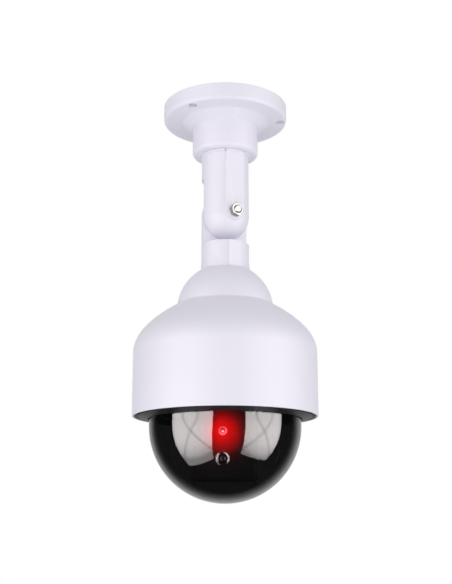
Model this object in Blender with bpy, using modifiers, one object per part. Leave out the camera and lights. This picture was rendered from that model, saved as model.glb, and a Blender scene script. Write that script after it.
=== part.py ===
"""Dome cctv camera hung from a round ceiling flange by a two-piece tilt arm.

The frame is +Z up, in metres, with its origin at the centre of the ceiling face.
The front of the camera faces -Y. Heights below the ceiling are negative.
"""

import math

import bpy
import bmesh
from mathutils import Matrix, Vector

mm = 0.001
degree = math.radians(1)

# Clearances
GAP = 0.3 * mm                  # between pieces that touch or are screwed together
RUNNING_GAP = 0.35 * mm         # between turned pieces that turn on each other
PAST = 2.0 * mm                 # how far a cutter runs past what it cuts
OVERLAP = 0.5 * mm              # how far joined shapes run into each other
SHELL_STEPS = 36                # sides of a large turned piece
SMALL_STEPS = 16                # sides of a small turned piece

# Ceiling flange with its collar
FLANGE_RADIUS = 44.0 * mm
FLANGE_DEPTH = 11.9 * mm
FLANGE_FILLET = 2.5 * mm
FLANGE_WALL = 2.5 * mm
FLANGE_RIBS = 6
RIB_WIDTH = 1.6 * mm
CONE_DEPTH = 5.1 * mm
CONE_SPREAD = 6.8 * mm
COLLAR_STEP = 0.8 * mm
COLLAR_LENGTH = 20.4 * mm
COLLAR_FILLET = 2.8 * mm
COLLAR_SKIN = 2.3 * mm
SOCKET_WALL = 2.0 * mm
SOCKET_POCKET = 1.95 * mm
SOCKET_ROOF = 3.0 * mm
FIXING_HOLE_RADIUS = 2.2 * mm
FIXING_SINK_RADIUS = 3.4 * mm
FIXING_SINK_DEPTH = 1.6 * mm
FIXING_BOSS_RADIUS = 4.2 * mm
FIXING_BOSS_INSET = 0.5 * mm
FIXING_ANGLES = (238.7, 358.6, 118.6)   # degrees from +X

# Tilt arm
ARM_RADIUS = 16.6 * mm
ARM_TURN = 27.8                 # degrees that the pivot bolt points to the right of the front
ARM_DROP = 45.1 * mm            # from the collar's lower face to the pivot
ARM_REACH = 67.75 * mm          # from the pivot to the centre of the neck's ball
ROOT_ABOVE_LEDGE = 18.3 * mm    # full round length under the collar
ROOT_LEDGE = 20.9 * mm          # from the pivot to the lower arm's ledge
ROOT_FLARE = 0.45 * mm
FLARE_LENGTH = 6.0 * mm
BEAD_WIDTH = 1.6 * mm
BEAD_HEIGHT = 1.0 * mm
PAD_PROUD = 0.4 * mm
UPPER_PAD_HALF = 6.6 * mm
LOWER_PAD_HALF = 4.4 * mm
TRUNNION_RADIUS = 8.0 * mm
HALF_JOINT = 0.15 * mm          # each half of the arm stops this far from the joint's middle

# Metric hardware
BOLT_RADIUS = 2.4 * mm
BOLT_FLATS = 8.0 * mm
BOLT_HEAD = 3.5 * mm
NUT_HEIGHT = 4.0 * mm
NUT_TURN = 17.0
BOLT_END = 1.0 * mm
WASHER_THICKNESS = 1.0 * mm
WASHER_RADIUS = 5.0 * mm
SWIVEL_WASHER_LAP = 3.65 * mm   # beyond the bore that the washer closes
NECK_WASHER_LAP = 2.6 * mm
SWIVEL_WASHER_THICKNESS = 1.5 * mm
SWIVEL_HEAD_RADIUS = 4.75 * mm
SWIVEL_HEAD_HEIGHT = 3.2 * mm
SWIVEL_SCREW_LENGTH = 13.0 * mm
SCREW_RADIUS = 1.3 * mm
SCREW_HEAD_RADIUS = 2.7 * mm
SCREW_HEAD_HEIGHT = 1.9 * mm
FINE_SCREW_RADIUS = 1.1 * mm
FINE_HEAD_RADIUS = 2.1 * mm
FINE_HEAD_HEIGHT = 1.5 * mm
NECK_SCREW_LENGTH = 11.0 * mm
CHASSIS_SCREW_LENGTH = 12.0 * mm
CAMERA_SCREW_LENGTH = 11.0 * mm
BOARD_SCREW_LENGTH = 5.0 * mm
DOME_SCREW_LENGTH = 4.0 * mm
PILOT_SPARE = 2.4 * mm          # a pilot hole's depth beyond its screw's tip

# Neck cap and housing
BALL_RADIUS = 33.2 * mm
BALL_WALL = 2.2 * mm
NECK_TUBE_WALL = 2.6 * mm
NECK_TUBE_END = 20.0 * mm       # above the ball's centre
NECK_SEAT = 3.6 * mm            # above the ball's centre
SPIGOT_LENGTH = 3.4 * mm
SPIGOT_STEP = 2.3 * mm
SPIGOT_WALL = 1.6 * mm
NECK_SCREW_INSET = 5.2 * mm     # from the spigot's outside to the screws
NECK_BOSS_RADIUS = 3.0 * mm
NECK_BOSS_LENGTH = 14.5 * mm
DOME_RADIUS = 51.0 * mm
RIM_MARGIN = 11.5 * mm          # from the dome to the housing's outside
HOUSING_WALL = 1.4 * mm
SHELF_THICKNESS = 2.3 * mm
SHELF_LAND = 4.5 * mm           # from the shelf's hole to the neck screws
BELL_HEIGHT = 33.1 * mm
BELL_THICKEN = 1.3              # the bell's wall against the skirt's, at its top
BELL_POINTS = 8
SKIRT_HEIGHT = 43.1 * mm

# Bayonet, retaining ring and dome
LEDGE_DEPTH = 2.0 * mm
LEDGE_ABOVE_RIM = 6.1 * mm
LEDGE_THICKNESS = 2.0 * mm
LUG_WIDTH = 12.0 * mm
LUG_HEIGHT = 2.0 * mm
BAYONET_TURN = 20.0
SLOT_WIDTH = 19.0 * mm
LUG_ANGLES = (90.0, 210.0, 330.0)
RING_WALL = 1.5 * mm
RING_GAP = 0.55 * mm
RING_EDGE = 2.0 * mm
RING_SHOULDER = 0.2 * mm        # the dome's seat above the edge
RING_CONE = 2.1 * mm            # the ring's underside is this much lower at the dome
RING_LIP = 0.5 * mm
DOME_WALL = 1.6 * mm
DOME_FLANGE = 5.0 * mm
DOME_FLANGE_THICKNESS = 1.6 * mm
DOME_SCREW_SHIFT = 0.2 * mm     # outwards from the middle of the dome's flange
DOME_STRAIGHT = 3.75 * mm       # below the ring's inner edge
DOME_POINTS = 9                 # along each arc of the dome's section
DOME_SCREWS = 4

# Chassis plate and what it carries
CHASSIS_ABOVE_RIM = 14.7 * mm
CHASSIS_THICKNESS = 2.4 * mm
CHASSIS_BOSS_RADIUS = 3.4 * mm
CHASSIS_BOSS_LENGTH = 24.0 * mm
CHASSIS_BOSS_INSET = 7.1 * mm
CHASSIS_ANGLES = (30.0, 150.0, 270.0)
CAMERA_WIDTH = 44.0 * mm
CAMERA_FRONT = 24.0 * mm
CAMERA_BACK = 9.0 * mm
CAMERA_WALL = 1.8 * mm
CAMERA_ROUND = 3.0 * mm
CAMERA_CLEARANCE = 1.3 * mm     # from the box's lower corners to the dome
CAMERA_BOSS_RADIUS = 3.2 * mm
CAMERA_BOSS_LENGTH = 12.0 * mm
LED_WIRE_RISE = 14.0 * mm       # behind the box's front
LED_WIRE_HOLE = 3.0 * mm
LENS_HEIGHT = 14.85 * mm        # above the box's lower face
LED_ABOVE_LENS = 17.6 * mm
LED_RADIUS = 2.5 * mm
LED_LENGTH = 8.6 * mm
LED_PROUD = 4.4 * mm
LED_COLLAR = 0.5 * mm
BEZEL_RADIUS = 4.7 * mm
BEZEL_BORE = 3.4 * mm
BEZEL_PROUD = 1.3 * mm
BEZEL_WALL = 0.6 * mm
LENS_BULGE = 1.0 * mm
LENS_BARREL = 6.0 * mm

# Batteries: AA cells side by side
CELL_RADIUS = 7.25 * mm
CELL_LENGTH = 50.5 * mm
CELL_NUB_RADIUS = 2.6 * mm
CELL_NUB_LENGTH = 1.0 * mm
CELL_GAP = 0.5 * mm
SPRING_LENGTH = 3.8 * mm
SPRING_RADIUS = 3.4 * mm
SPRING_WIRE = 0.35 * mm
SPRING_TURNS = 3
CELL_CHAMFER = 0.6 * mm
CONTACT_THICKNESS = 0.5 * mm
CONTACT_HALF = 4.5 * mm
TAB_HALF = 1.5 * mm
TAB_PROUD = 1.2 * mm            # above the box's roof
BOX_WALL = 1.6 * mm
BOX_START = 12.6 * mm           # the box's front wall, behind the camera's axis
DOOR_THICKNESS = 2.0 * mm
DOOR_OVERLAP = 1.4 * mm
DOOR_RAIL = 1.5 * mm
GRIP_WIDTH = 1.2 * mm
GRIP_LENGTH = 18.0 * mm
GRIP_PROUD = 1.0 * mm
GRIP_INSET = 3.0 * mm
GRIP_PITCH = 2.9 * mm
GRIPS = 3

# Circuit and switch
BOARD_WIDTH = 34.0 * mm
BOARD_DEPTH = 26.0 * mm
BOARD_THICKNESS = 1.6 * mm
BOARD_FRONT = 42.0 * mm
POST_HEIGHT = 2.6 * mm
POST_RADIUS = 2.6 * mm
CHIP_SIZE = (6.2 * mm, 9.4 * mm, 3.3 * mm)
CAPACITOR_RADIUS = 3.1 * mm
CAPACITOR_HEIGHT = 7.0 * mm
RESISTOR_RADIUS = 1.15 * mm
RESISTOR_LENGTH = 6.4 * mm
PARTS_INSET = 2.0 * mm          # from the board's front edge to the capacitor
SWITCH_REACH = 40.0 * mm        # the switch's centre, right of the camera's axis
SWITCH_SIZE = (9.0 * mm, 5.0 * mm, 4.5 * mm)
SWITCH_TRAVEL = 2.5 * mm
SLIDER_RISE = 2.2 * mm          # into the switch's body
SLIDER_SIZE = (3.0 * mm, 2.0 * mm, 6.8 * mm)
WIRE_RADIUS = 0.7 * mm

# Heights that follow from the sizes above
COLLAR_TOP = -(FLANGE_DEPTH + CONE_DEPTH)
COLLAR_FOOT = COLLAR_TOP - COLLAR_LENGTH
COLLAR_RADIUS = ARM_RADIUS + RUNNING_GAP + SOCKET_WALL + SOCKET_POCKET + COLLAR_SKIN
SOCKET_RADIUS = ARM_RADIUS + RUNNING_GAP
SOCKET_TOP = COLLAR_TOP - SOCKET_ROOF
TRUNNION_TOP = COLLAR_TOP + GAP
PIVOT = COLLAR_FOOT - ARM_DROP
UPPER_LEDGE = COLLAR_FOOT - ROOT_ABOVE_LEDGE
LOWER_LEDGE = PIVOT - ROOT_LEDGE
PAD_PLANE = ARM_RADIUS + PAD_PROUD
PAD_TOP = COLLAR_FOOT - GAP
BALL_CENTRE = PIVOT - ARM_REACH
ROOT_RADIUS = ARM_RADIUS + ROOT_FLARE
NECK_BORE = ROOT_RADIUS + RUNNING_GAP
NECK_SHELF = NECK_BORE + NECK_TUBE_WALL
TRUNNION_BORE = TRUNNION_RADIUS + RUNNING_GAP
TUBE_END = BALL_CENTRE + NECK_TUBE_END
ROOT_END = TUBE_END - GAP
NECK_SEAT_HEIGHT = BALL_CENTRE + NECK_SEAT
SEAT_RADIUS = math.sqrt(BALL_RADIUS**2 - NECK_SEAT**2)
SPIGOT_RADIUS = SEAT_RADIUS - SPIGOT_STEP
SPIGOT_FOOT = NECK_SEAT_HEIGHT - SPIGOT_LENGTH
NECK_SCREW_CIRCLE = SPIGOT_RADIUS - NECK_SCREW_INSET
BELL_TOP = NECK_SEAT_HEIGHT - GAP
BELL_FOOT = BELL_TOP - BELL_HEIGHT
RIM = BELL_FOOT - SKIRT_HEIGHT
HOUSING_RADIUS = DOME_RADIUS + RIM_MARGIN
HOUSING_INSIDE = HOUSING_RADIUS - HOUSING_WALL
SHELF_TOP = SPIGOT_FOOT - GAP
SHELF_FOOT = SHELF_TOP - SHELF_THICKNESS
SHELF_HOLE = NECK_SCREW_CIRCLE - SHELF_LAND
LEDGE_RADIUS = HOUSING_INSIDE - LEDGE_DEPTH
LEDGE_FOOT = RIM + LEDGE_ABOVE_RIM
LEDGE_TOP = LEDGE_FOOT + LEDGE_THICKNESS
LUG_FOOT = LEDGE_TOP + GAP
LUG_TOP = LUG_FOOT + LUG_HEIGHT
RING_RADIUS = HOUSING_INSIDE - RING_GAP
RING_TUBE = LEDGE_RADIUS - RING_GAP
LUG_RADIUS = HOUSING_INSIDE - 2 * RING_GAP
RING_SEAT = RIM + RING_EDGE + RING_SHOULDER
RING_INNER_FOOT = RIM - RING_CONE
DOME_CENTRE = RING_INNER_FOOT - DOME_STRAIGHT
DOME_INSIDE = DOME_RADIUS - DOME_WALL
DOME_SCREW_CIRCLE = DOME_RADIUS + DOME_FLANGE / 2 + DOME_SCREW_SHIFT
DOME_SEAT = RING_SEAT + GAP
CHASSIS_FOOT = RIM + CHASSIS_ABOVE_RIM
CHASSIS_TOP = CHASSIS_FOOT + CHASSIS_THICKNESS
CHASSIS_RADIUS = LEDGE_RADIUS - RING_GAP
CHASSIS_SCREW_CIRCLE = HOUSING_INSIDE - CHASSIS_BOSS_INSET
CAMERA_TOP = CHASSIS_FOOT - GAP
CORNER_REACH = math.hypot(CAMERA_WIDTH / 2 - CAMERA_ROUND, CAMERA_FRONT - CAMERA_ROUND)
CORNER_SPHERE = DOME_INSIDE - CAMERA_CLEARANCE - CAMERA_ROUND
CAMERA_FOOT = DOME_CENTRE - CAMERA_ROUND - math.sqrt(CORNER_SPHERE**2 - CORNER_REACH**2)
LENS = CAMERA_FOOT + LENS_HEIGHT
LED = LENS + LED_ABOVE_LENS
CAMERA_SCREW_REACH = CAMERA_WIDTH / 2 - CAMERA_WALL - CAMERA_BOSS_RADIUS + OVERLAP / 2
SLEEVE_RADIUS = BEZEL_BORE + BEZEL_WALL
CELL_SPAN = CELL_LENGTH + SPRING_LENGTH + 2 * GAP
BOX_INSIDE = CELL_SPAN / 2 + CONTACT_THICKNESS + 2 * GAP
BOX_FRONT = BOX_START + BOX_WALL
BOX_BACK = BOX_FRONT + 4 * CELL_RADIUS + 3 * CELL_GAP
BOX_FOOT = CHASSIS_TOP + GAP
CELL_HEIGHT = BOX_FOOT + CELL_GAP + CELL_RADIUS
BOX_ROOF = CELL_HEIGHT + CELL_RADIUS + CELL_GAP
DOOR_TOP = CHASSIS_FOOT - GAP
DOOR_FOOT = DOOR_TOP - DOOR_THICKNESS
BOARD_FOOT = CHASSIS_TOP + POST_HEIGHT + GAP
BOARD_TOP = BOARD_FOOT + BOARD_THICKNESS
BOARD_MIDDLE = BOARD_DEPTH / 2 - BOARD_FRONT
SWITCH_FOOT = CHASSIS_TOP + GAP
SWITCH_MIDDLE = SWITCH_REACH + SWITCH_TRAVEL / 2
WIRE_RISE = LED_WIRE_RISE - CAMERA_FRONT
TAB_TOP = BOX_ROOF + BOX_WALL + TAB_PROUD

for old in list(bpy.data.objects):
    bpy.data.objects.remove(old)

parts = bpy.data.collections.new("dome_cctv_camera")
cutters = bpy.data.collections.new("cutters")
bpy.context.scene.collection.children.link(parts)
bpy.context.scene.collection.children.link(cutters)


# Tools ---------------------------------------------------------------------

def material(name, colour, roughness, metallic=0.0):
    """A Principled material of one colour."""
    made = bpy.data.materials.new(name)
    made.use_nodes = True
    shader = made.node_tree.nodes["Principled BSDF"]
    shader.inputs["Base Color"].default_value = (*colour, 1.0)
    shader.inputs["Roughness"].default_value = roughness
    shader.inputs["Metallic"].default_value = metallic
    return made


def add(name, mesh, finish=None):
    """An object of this mesh: a part where it has a finish, a cutter where it has none."""
    made = bpy.data.objects.new(name, mesh)
    if finish is None:
        cutters.objects.link(made)
        made.hide_render = True
        made.display_type = "WIRE"
    else:
        parts.objects.link(made)
        mesh.materials.append(finish)
    return made


def smooth(made):
    """Smooth shading with sharp creases."""
    made.data.shade_smooth()
    made.data.set_sharp_from_angle(angle=35 * degree)
    return made


def turned(name, profile, finish=None, steps=SHELL_STEPS, ring=True):
    """A profile of (radius, height) points turned round Z. It runs down the outer side;
    a ring's profile closes on itself, and a solid one's starts and ends on the axis."""
    mesh = bpy.data.meshes.new(name)
    edges = [(i, i + 1) for i in range(len(profile) - 1)]
    if ring:
        edges.append((len(profile) - 1, 0))
    mesh.from_pydata([(radius, 0.0, height) for radius, height in profile], edges, [])
    made = add(name, mesh, finish)
    screw = made.modifiers.new("turn", "SCREW")
    screw.steps = steps
    screw.render_steps = steps
    screw.use_merge_vertices = True
    screw.merge_threshold = 0.00001
    screw.use_smooth_shade = True
    return made


def arc(centre, radius, start, end, points):
    """Points on an arc in the (radius, height) plane, from one angle in degrees to another."""
    turns = [(start + (end - start) * i / (points - 1)) * degree for i in range(points)]
    return [(centre[0] + radius * math.cos(t), centre[1] + radius * math.sin(t)) for t in turns]


def solid(name, build, finish=None):
    """A piece whose mesh a bmesh operator makes."""
    shape = bmesh.new()
    build(shape)
    mesh = bpy.data.meshes.new(name)
    shape.to_mesh(mesh)
    shape.free()
    return add(name, mesh, finish)


def block(name, low, high, finish=None):
    """A box between two corners."""
    low, high = Vector(low), Vector(high)
    where = Matrix.Translation((low + high) / 2) @ Matrix.Diagonal((*(high - low), 1.0))
    return solid(name, lambda shape: bmesh.ops.create_cube(shape, size=1.0, matrix=where), finish)


def rod(name, radius, start, end, finish=None, sides=SMALL_STEPS, spin=0.0, tip=None):
    """A cylinder, prism or cone between two points."""
    start, end = Vector(start), Vector(end)
    along = (end - start).to_track_quat("Z", "Y").to_matrix().to_4x4()
    where = Matrix.Translation((start + end) / 2) @ along @ Matrix.Rotation(spin * degree, 4, "Z")
    far = radius if tip is None else tip
    return solid(name, lambda shape: bmesh.ops.create_cone(
        shape, cap_ends=True, segments=sides, radius1=radius, radius2=far,
        depth=(end - start).length, matrix=where), finish)


def combine(made, other, operation):
    """A Boolean with one other object, kept as a modifier."""
    step = made.modifiers.new(f"{operation.lower()}_{other.name}", "BOOLEAN")
    step.operation = operation
    step.object = other
    other.parent = made
    return made


def cut(made, *others):
    for other in others:
        combine(made, other, "DIFFERENCE")
    return made


def join(made, *others):
    for other in others:
        combine(made, other, "UNION")
    return made


def outline_mesh(name, points, depth):
    """A flat outline in the XZ plane, extruded along Y by half its depth each way."""
    curve = bpy.data.curves.new(name + "_outline", "CURVE")
    curve.dimensions = "2D"
    curve.fill_mode = "BOTH"
    curve.extrude = depth / 2
    line = curve.splines.new("POLY")
    line.points.add(len(points) - 1)
    for point, (x, z) in zip(line.points, points):
        point.co = (x, z, 0.0, 1.0)
    line.use_cyclic_u = True
    drawn = bpy.data.objects.new(name + "_outline", curve)
    cutters.objects.link(drawn)
    drawn.rotation_euler.x = 90 * degree
    bpy.context.view_layer.update()
    mesh = bpy.data.meshes.new_from_object(drawn.evaluated_get(bpy.context.evaluated_depsgraph_get()))
    shape = bmesh.new()
    shape.from_mesh(mesh)
    bmesh.ops.remove_doubles(shape, verts=shape.verts, dist=0.00001)
    bmesh.ops.transform(shape, matrix=drawn.matrix_world, verts=shape.verts)
    bmesh.ops.recalc_face_normals(shape, faces=shape.faces)
    shape.to_mesh(mesh)
    shape.free()
    bpy.data.objects.remove(drawn)
    return add(name, mesh)


def tube(name, places, radius, finish):
    """A round bar along a line of points."""
    curve = bpy.data.curves.new(name, "CURVE")
    curve.dimensions = "3D"
    curve.bevel_depth = radius
    curve.bevel_resolution = 2
    curve.use_fill_caps = True
    line = curve.splines.new("POLY")
    line.points.add(len(places) - 1)
    for point, place in zip(line.points, places):
        point.co = (*place, 1.0)
    made = bpy.data.objects.new(name, curve)
    parts.objects.link(made)
    curve.materials.append(finish)
    return made


def eased(route, count=14):
    """Points spread along a Catmull-Rom curve through the route."""
    knots = [Vector(p) for p in route]
    knots = [2 * knots[0] - knots[1], *knots, 2 * knots[-1] - knots[-2]]
    spans = len(knots) - 3
    places = []
    for i in range(count):
        along = spans * i / (count - 1)
        span = min(int(along), spans - 1)
        t = along - span
        a, b, c, d = knots[span:span + 4]
        places.append(0.5 * (2 * b + (c - a) * t + (2 * a - 5 * b + 4 * c - d) * t**2
                             + (3 * b - a - 3 * c + d) * t**3))
    return places


def axis_empty(name, place, turn=0.0, parent=None):
    """An empty that stands on a joint's axis."""
    made = bpy.data.objects.new(name, None)
    parts.objects.link(made)
    made.parent = parent
    made.location = Vector(place) - (parent.matrix_world.translation if parent else Vector())
    made.rotation_euler.z = turn * degree
    bpy.context.view_layer.update()
    return made


def hang(empty, *pieces):
    """Parents pieces, modelled at their heights below the ceiling, to a joint's empty."""
    for made in pieces:
        made.parent = empty
        made.location = made.location - empty.matrix_world.translation


def round_place(circle, angle, height=0.0):
    """A point at this angle in degrees on a circle round Z."""
    return Vector((circle * math.cos(angle * degree), circle * math.sin(angle * degree), height))


def screw(name, place, down, length, radius, head_radius, head_height, finish):
    """A pan head screw with its head's bearing face at place; down is the way the shank points."""
    profile = [
        (0.0, head_height), (0.62 * head_radius, head_height), (head_radius, 0.45 * head_height),
        (head_radius, 0.0), (radius, 0.0), (radius, -length + radius), (0.0, -length),
    ]
    made = turned(name, profile, finish, steps=10, ring=False)
    made.location = place
    made.rotation_euler.x = 0.0 if down < 0 else math.pi
    recess = rod(f"{name}_recess", 0.2 * head_radius, (0, 0, 0.4 * head_height), (0, 0, 1.4 * head_height),
                 sides=4, tip=0.7 * head_radius)
    return cut(made, recess)


# Finishes --------------------------------------------------------------------

white_abs = material("white_abs", (0.83, 0.82, 0.87), 0.42)
black_abs = material("black_abs", (0.02, 0.02, 0.022), 0.5)
ring_abs = material("ring_abs", (0.06, 0.06, 0.06), 0.45)
smoked = material("smoked_acrylic", (0.01, 0.01, 0.012), 0.04)
zinc = material("zinc_steel", (0.72, 0.73, 0.72), 0.28, 1.0)
nickel = material("nickel_spring", (0.66, 0.64, 0.6), 0.3, 1.0)
chrome = material("chrome_trim", (0.75, 0.75, 0.76), 0.12, 1.0)
lens_black = material("lens_glass", (0.01, 0.01, 0.015), 0.03)
red_lens = material("red_led", (0.7, 0.01, 0.01), 0.15)
board_green = material("board_laminate", (0.03, 0.16, 0.06), 0.4)
chip_black = material("chip_resin", (0.03, 0.03, 0.03), 0.55)
can_blue = material("capacitor_sleeve", (0.02, 0.04, 0.12), 0.35)
resistor_tan = material("resistor_body", (0.62, 0.46, 0.28), 0.5)
cell_wrap = material("cell_wrap", (0.05, 0.2, 0.1), 0.35)
red_wire = material("red_wire", (0.5, 0.02, 0.02), 0.45)
black_wire = material("black_wire", (0.02, 0.02, 0.02), 0.45)

# Joint axes --------------------------------------------------------------------

swivel_axis = axis_empty("base_swivel_axis", (0, 0, 0), ARM_TURN)
tilt_axis = axis_empty("arm_tilt_axis", (0, 0, PIVOT), 0.0, swivel_axis)
housing_axis = axis_empty("housing_swivel_axis", (0, 0, BALL_CENTRE), -ARM_TURN, tilt_axis)
dome_axis = axis_empty("dome_twist_axis", (0, 0, RIM), 0.0, housing_axis)


# Ceiling flange ------------------------------------------------------------------

def make_flange():
    floor = -(FLANGE_DEPTH - FLANGE_WALL)
    cone_foot = COLLAR_RADIUS + COLLAR_STEP
    pocket_inner = SOCKET_RADIUS + SOCKET_WALL
    pocket_outer = COLLAR_RADIUS - COLLAR_SKIN
    profile = [
        (FLANGE_RADIUS, 0.0),
        *arc((FLANGE_RADIUS - FLANGE_FILLET, FLANGE_FILLET - FLANGE_DEPTH), FLANGE_FILLET, 0, -90, 5),
        (cone_foot + CONE_SPREAD, -FLANGE_DEPTH),
        (cone_foot, COLLAR_TOP),
        (COLLAR_RADIUS, COLLAR_TOP),
        *arc((COLLAR_RADIUS - COLLAR_FILLET, COLLAR_FOOT + COLLAR_FILLET), COLLAR_FILLET, 0, -90, 4),
        (SOCKET_RADIUS, COLLAR_FOOT),
        (SOCKET_RADIUS, SOCKET_TOP),
        (TRUNNION_BORE, SOCKET_TOP),
        (TRUNNION_BORE, COLLAR_TOP),
        (pocket_inner, COLLAR_TOP),
        (pocket_inner, COLLAR_FOOT + COLLAR_SKIN),
        (pocket_outer, COLLAR_FOOT + COLLAR_SKIN),
        (pocket_outer, COLLAR_TOP + FLANGE_WALL / 2),
        (cone_foot + CONE_SPREAD - FLANGE_WALL, floor),
        (FLANGE_RADIUS - FLANGE_WALL, floor),
        (FLANGE_RADIUS - FLANGE_WALL, 0.0),
    ]
    flange = turned("ceiling_flange", profile, white_abs)
    for i in range(FLANGE_RIBS):
        angle = FIXING_ANGLES[0] + 30.0 + 60.0 * i
        rib = block(f"flange_rib_{i + 1}", (pocket_outer + OVERLAP, -RIB_WIDTH / 2, floor - OVERLAP),
                    (FLANGE_RADIUS - FLANGE_WALL / 2, RIB_WIDTH / 2, -RIB_WIDTH))
        rib.rotation_euler.z = angle * degree
        join(flange, rib)
    circle = FLANGE_RADIUS - FIXING_BOSS_RADIUS - FIXING_BOSS_INSET
    past = Vector((0, 0, PAST))
    lift = Vector((0, 0, FLANGE_WALL / 2))
    sink_depth = Vector((0, 0, FIXING_SINK_DEPTH))
    sink_mouth = 2 * FIXING_SINK_RADIUS - FIXING_HOLE_RADIUS
    for i, angle in enumerate(FIXING_ANGLES):
        top = round_place(circle, angle)
        foot = round_place(circle, angle, -FLANGE_DEPTH)
        boss = rod(f"flange_boss_{i + 1}", FIXING_BOSS_RADIUS, foot + lift, top)
        hole = rod(f"flange_hole_{i + 1}", FIXING_HOLE_RADIUS, foot - past, top + past)
        sink = rod(f"flange_sink_{i + 1}", sink_mouth, foot - sink_depth, foot + sink_depth,
                   tip=FIXING_HOLE_RADIUS)
        join(flange, boss)
        cut(flange, hole, sink)
    return smooth(flange)


# Tilt arm ------------------------------------------------------------------------

def pad(name, side, half, top, foot, rounded_top=False, rounded_foot=False):
    """A flat raised strip on one face of the arm; side is -1 at the front and 1 at the back."""
    points = []
    if rounded_foot:
        points += arc((0.0, foot), half, 180, 360, 11)
    else:
        points += [(-half, foot), (half, foot)]
    if rounded_top:
        points += arc((0.0, top), half, 0, 180, 11)
    else:
        points += [(half, top), (-half, top)]
    depth = PAD_PLANE - ARM_RADIUS / 2
    made = outline_mesh(name, points, depth)
    made.location.y = side * (PAD_PLANE - depth / 2)
    return made


def pilot(name, radius, start, end):
    return rod(name, radius, (0, 0, start), (0, 0, end))


def pivot_hole(name):
    reach = PAD_PLANE + PAST
    return rod(name, BOLT_RADIUS + GAP, (0, -reach, PIVOT), (0, reach, PIVOT))


def make_upper_arm():
    far = 2 * ARM_RADIUS
    bead = ARM_RADIUS + BEAD_WIDTH
    profile = [
        (0.0, TRUNNION_TOP),
        (TRUNNION_RADIUS, TRUNNION_TOP),
        (TRUNNION_RADIUS, SOCKET_TOP - GAP),
        (ARM_RADIUS, SOCKET_TOP - GAP),
        (ARM_RADIUS, PAD_TOP),
        (bead, PAD_TOP),
        (bead, PAD_TOP - BEAD_HEIGHT),
        (ARM_RADIUS, PAD_TOP - BEAD_HEIGHT),
        *arc((0.0, PIVOT), ARM_RADIUS, 0, -90, 9),
    ]
    arm = turned("upper_arm", profile, white_abs, ring=False)
    join(arm,
         pad("upper_front_pad", -1, UPPER_PAD_HALF, PAD_TOP, PIVOT, rounded_foot=True),
         pad("upper_back_pad", 1, UPPER_PAD_HALF, PAD_TOP, UPPER_LEDGE - GAP))
    cut(arm,
        block("upper_half", (-far, -HALF_JOINT, PIVOT - far), (far, far, UPPER_LEDGE)),
        pivot_hole("upper_pivot_hole"),
        pilot("upper_pilot", BOLT_RADIUS + GAP, TRUNNION_TOP + GAP,
              TRUNNION_TOP - SWIVEL_SCREW_LENGTH - GAP))
    return smooth(arm)


def make_lower_arm():
    far = 2 * ARM_RADIUS
    pad_foot = BALL_CENTRE + math.sqrt(BALL_RADIUS**2 - ROOT_RADIUS**2) + 2 * GAP
    profile = [
        *arc((0.0, PIVOT), ARM_RADIUS, 90, 0, 9),
        (ARM_RADIUS, pad_foot + FLARE_LENGTH),
        (ROOT_RADIUS, pad_foot),
        (ROOT_RADIUS, ROOT_END),
        (0.0, ROOT_END),
    ]
    arm = turned("lower_arm", profile, white_abs, ring=False)
    join(arm,
         pad("lower_front_pad", -1, LOWER_PAD_HALF, LOWER_LEDGE + GAP, pad_foot),
         pad("lower_back_pad", 1, UPPER_PAD_HALF, PIVOT, pad_foot, rounded_top=True))
    cut(arm,
        block("lower_half", (-far, -far, LOWER_LEDGE), (far, HALF_JOINT, PIVOT + far)),
        pivot_hole("lower_pivot_hole"),
        pilot("lower_pilot", BOLT_RADIUS + GAP, ROOT_END - GAP,
              ROOT_END + SWIVEL_SCREW_LENGTH + GAP))
    return smooth(arm)


def along_pivot(name, radius, near, far, finish=None, sides=SMALL_STEPS, spin=0.0):
    """A rod on the pivot's axis, from one distance in front of it to another."""
    return rod(name, radius, (0, -near, PIVOT), (0, -far, PIVOT), finish, sides, spin)


def make_pivot():
    hex_radius = BOLT_FLATS / 2 / math.cos(30 * degree)
    washer_near = -PAD_PLANE - GAP
    head_near = washer_near - WASHER_THICKNESS - GAP
    nut_near = PAD_PLANE + GAP
    nut_far = nut_near + NUT_HEIGHT
    bolt = along_pivot("pivot_bolt", BOLT_RADIUS, head_near - BOLT_HEAD / 2, nut_far + BOLT_END, zinc)
    join(bolt, along_pivot("bolt_head", hex_radius, head_near - BOLT_HEAD, head_near, sides=6))
    bore = BOLT_RADIUS + GAP
    washer = along_pivot("pivot_washer", WASHER_RADIUS, washer_near - WASHER_THICKNESS, washer_near, zinc)
    cut(washer, along_pivot("washer_bore", bore, -2 * PAD_PLANE, 0.0))
    nut = along_pivot("pivot_nut", hex_radius, nut_near, nut_far, zinc, sides=6, spin=NUT_TURN)
    cut(nut, along_pivot("nut_bore", bore, 0.0, 2 * PAD_PLANE))
    return bolt, washer, nut


def swivel_washer(name, radius, top):
    bore = BOLT_RADIUS + GAP
    foot = top - SWIVEL_WASHER_THICKNESS
    return smooth(turned(name, [(radius, top), (radius, foot), (bore, foot), (bore, top)], zinc,
                         steps=SMALL_STEPS))


def swivel_screw(name, height, down):
    return screw(name, (0, 0, height), down, SWIVEL_SCREW_LENGTH, BOLT_RADIUS, SWIVEL_HEAD_RADIUS,
                 SWIVEL_HEAD_HEIGHT, zinc)


# Neck cap and housing ---------------------------------------------------------------

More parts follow.
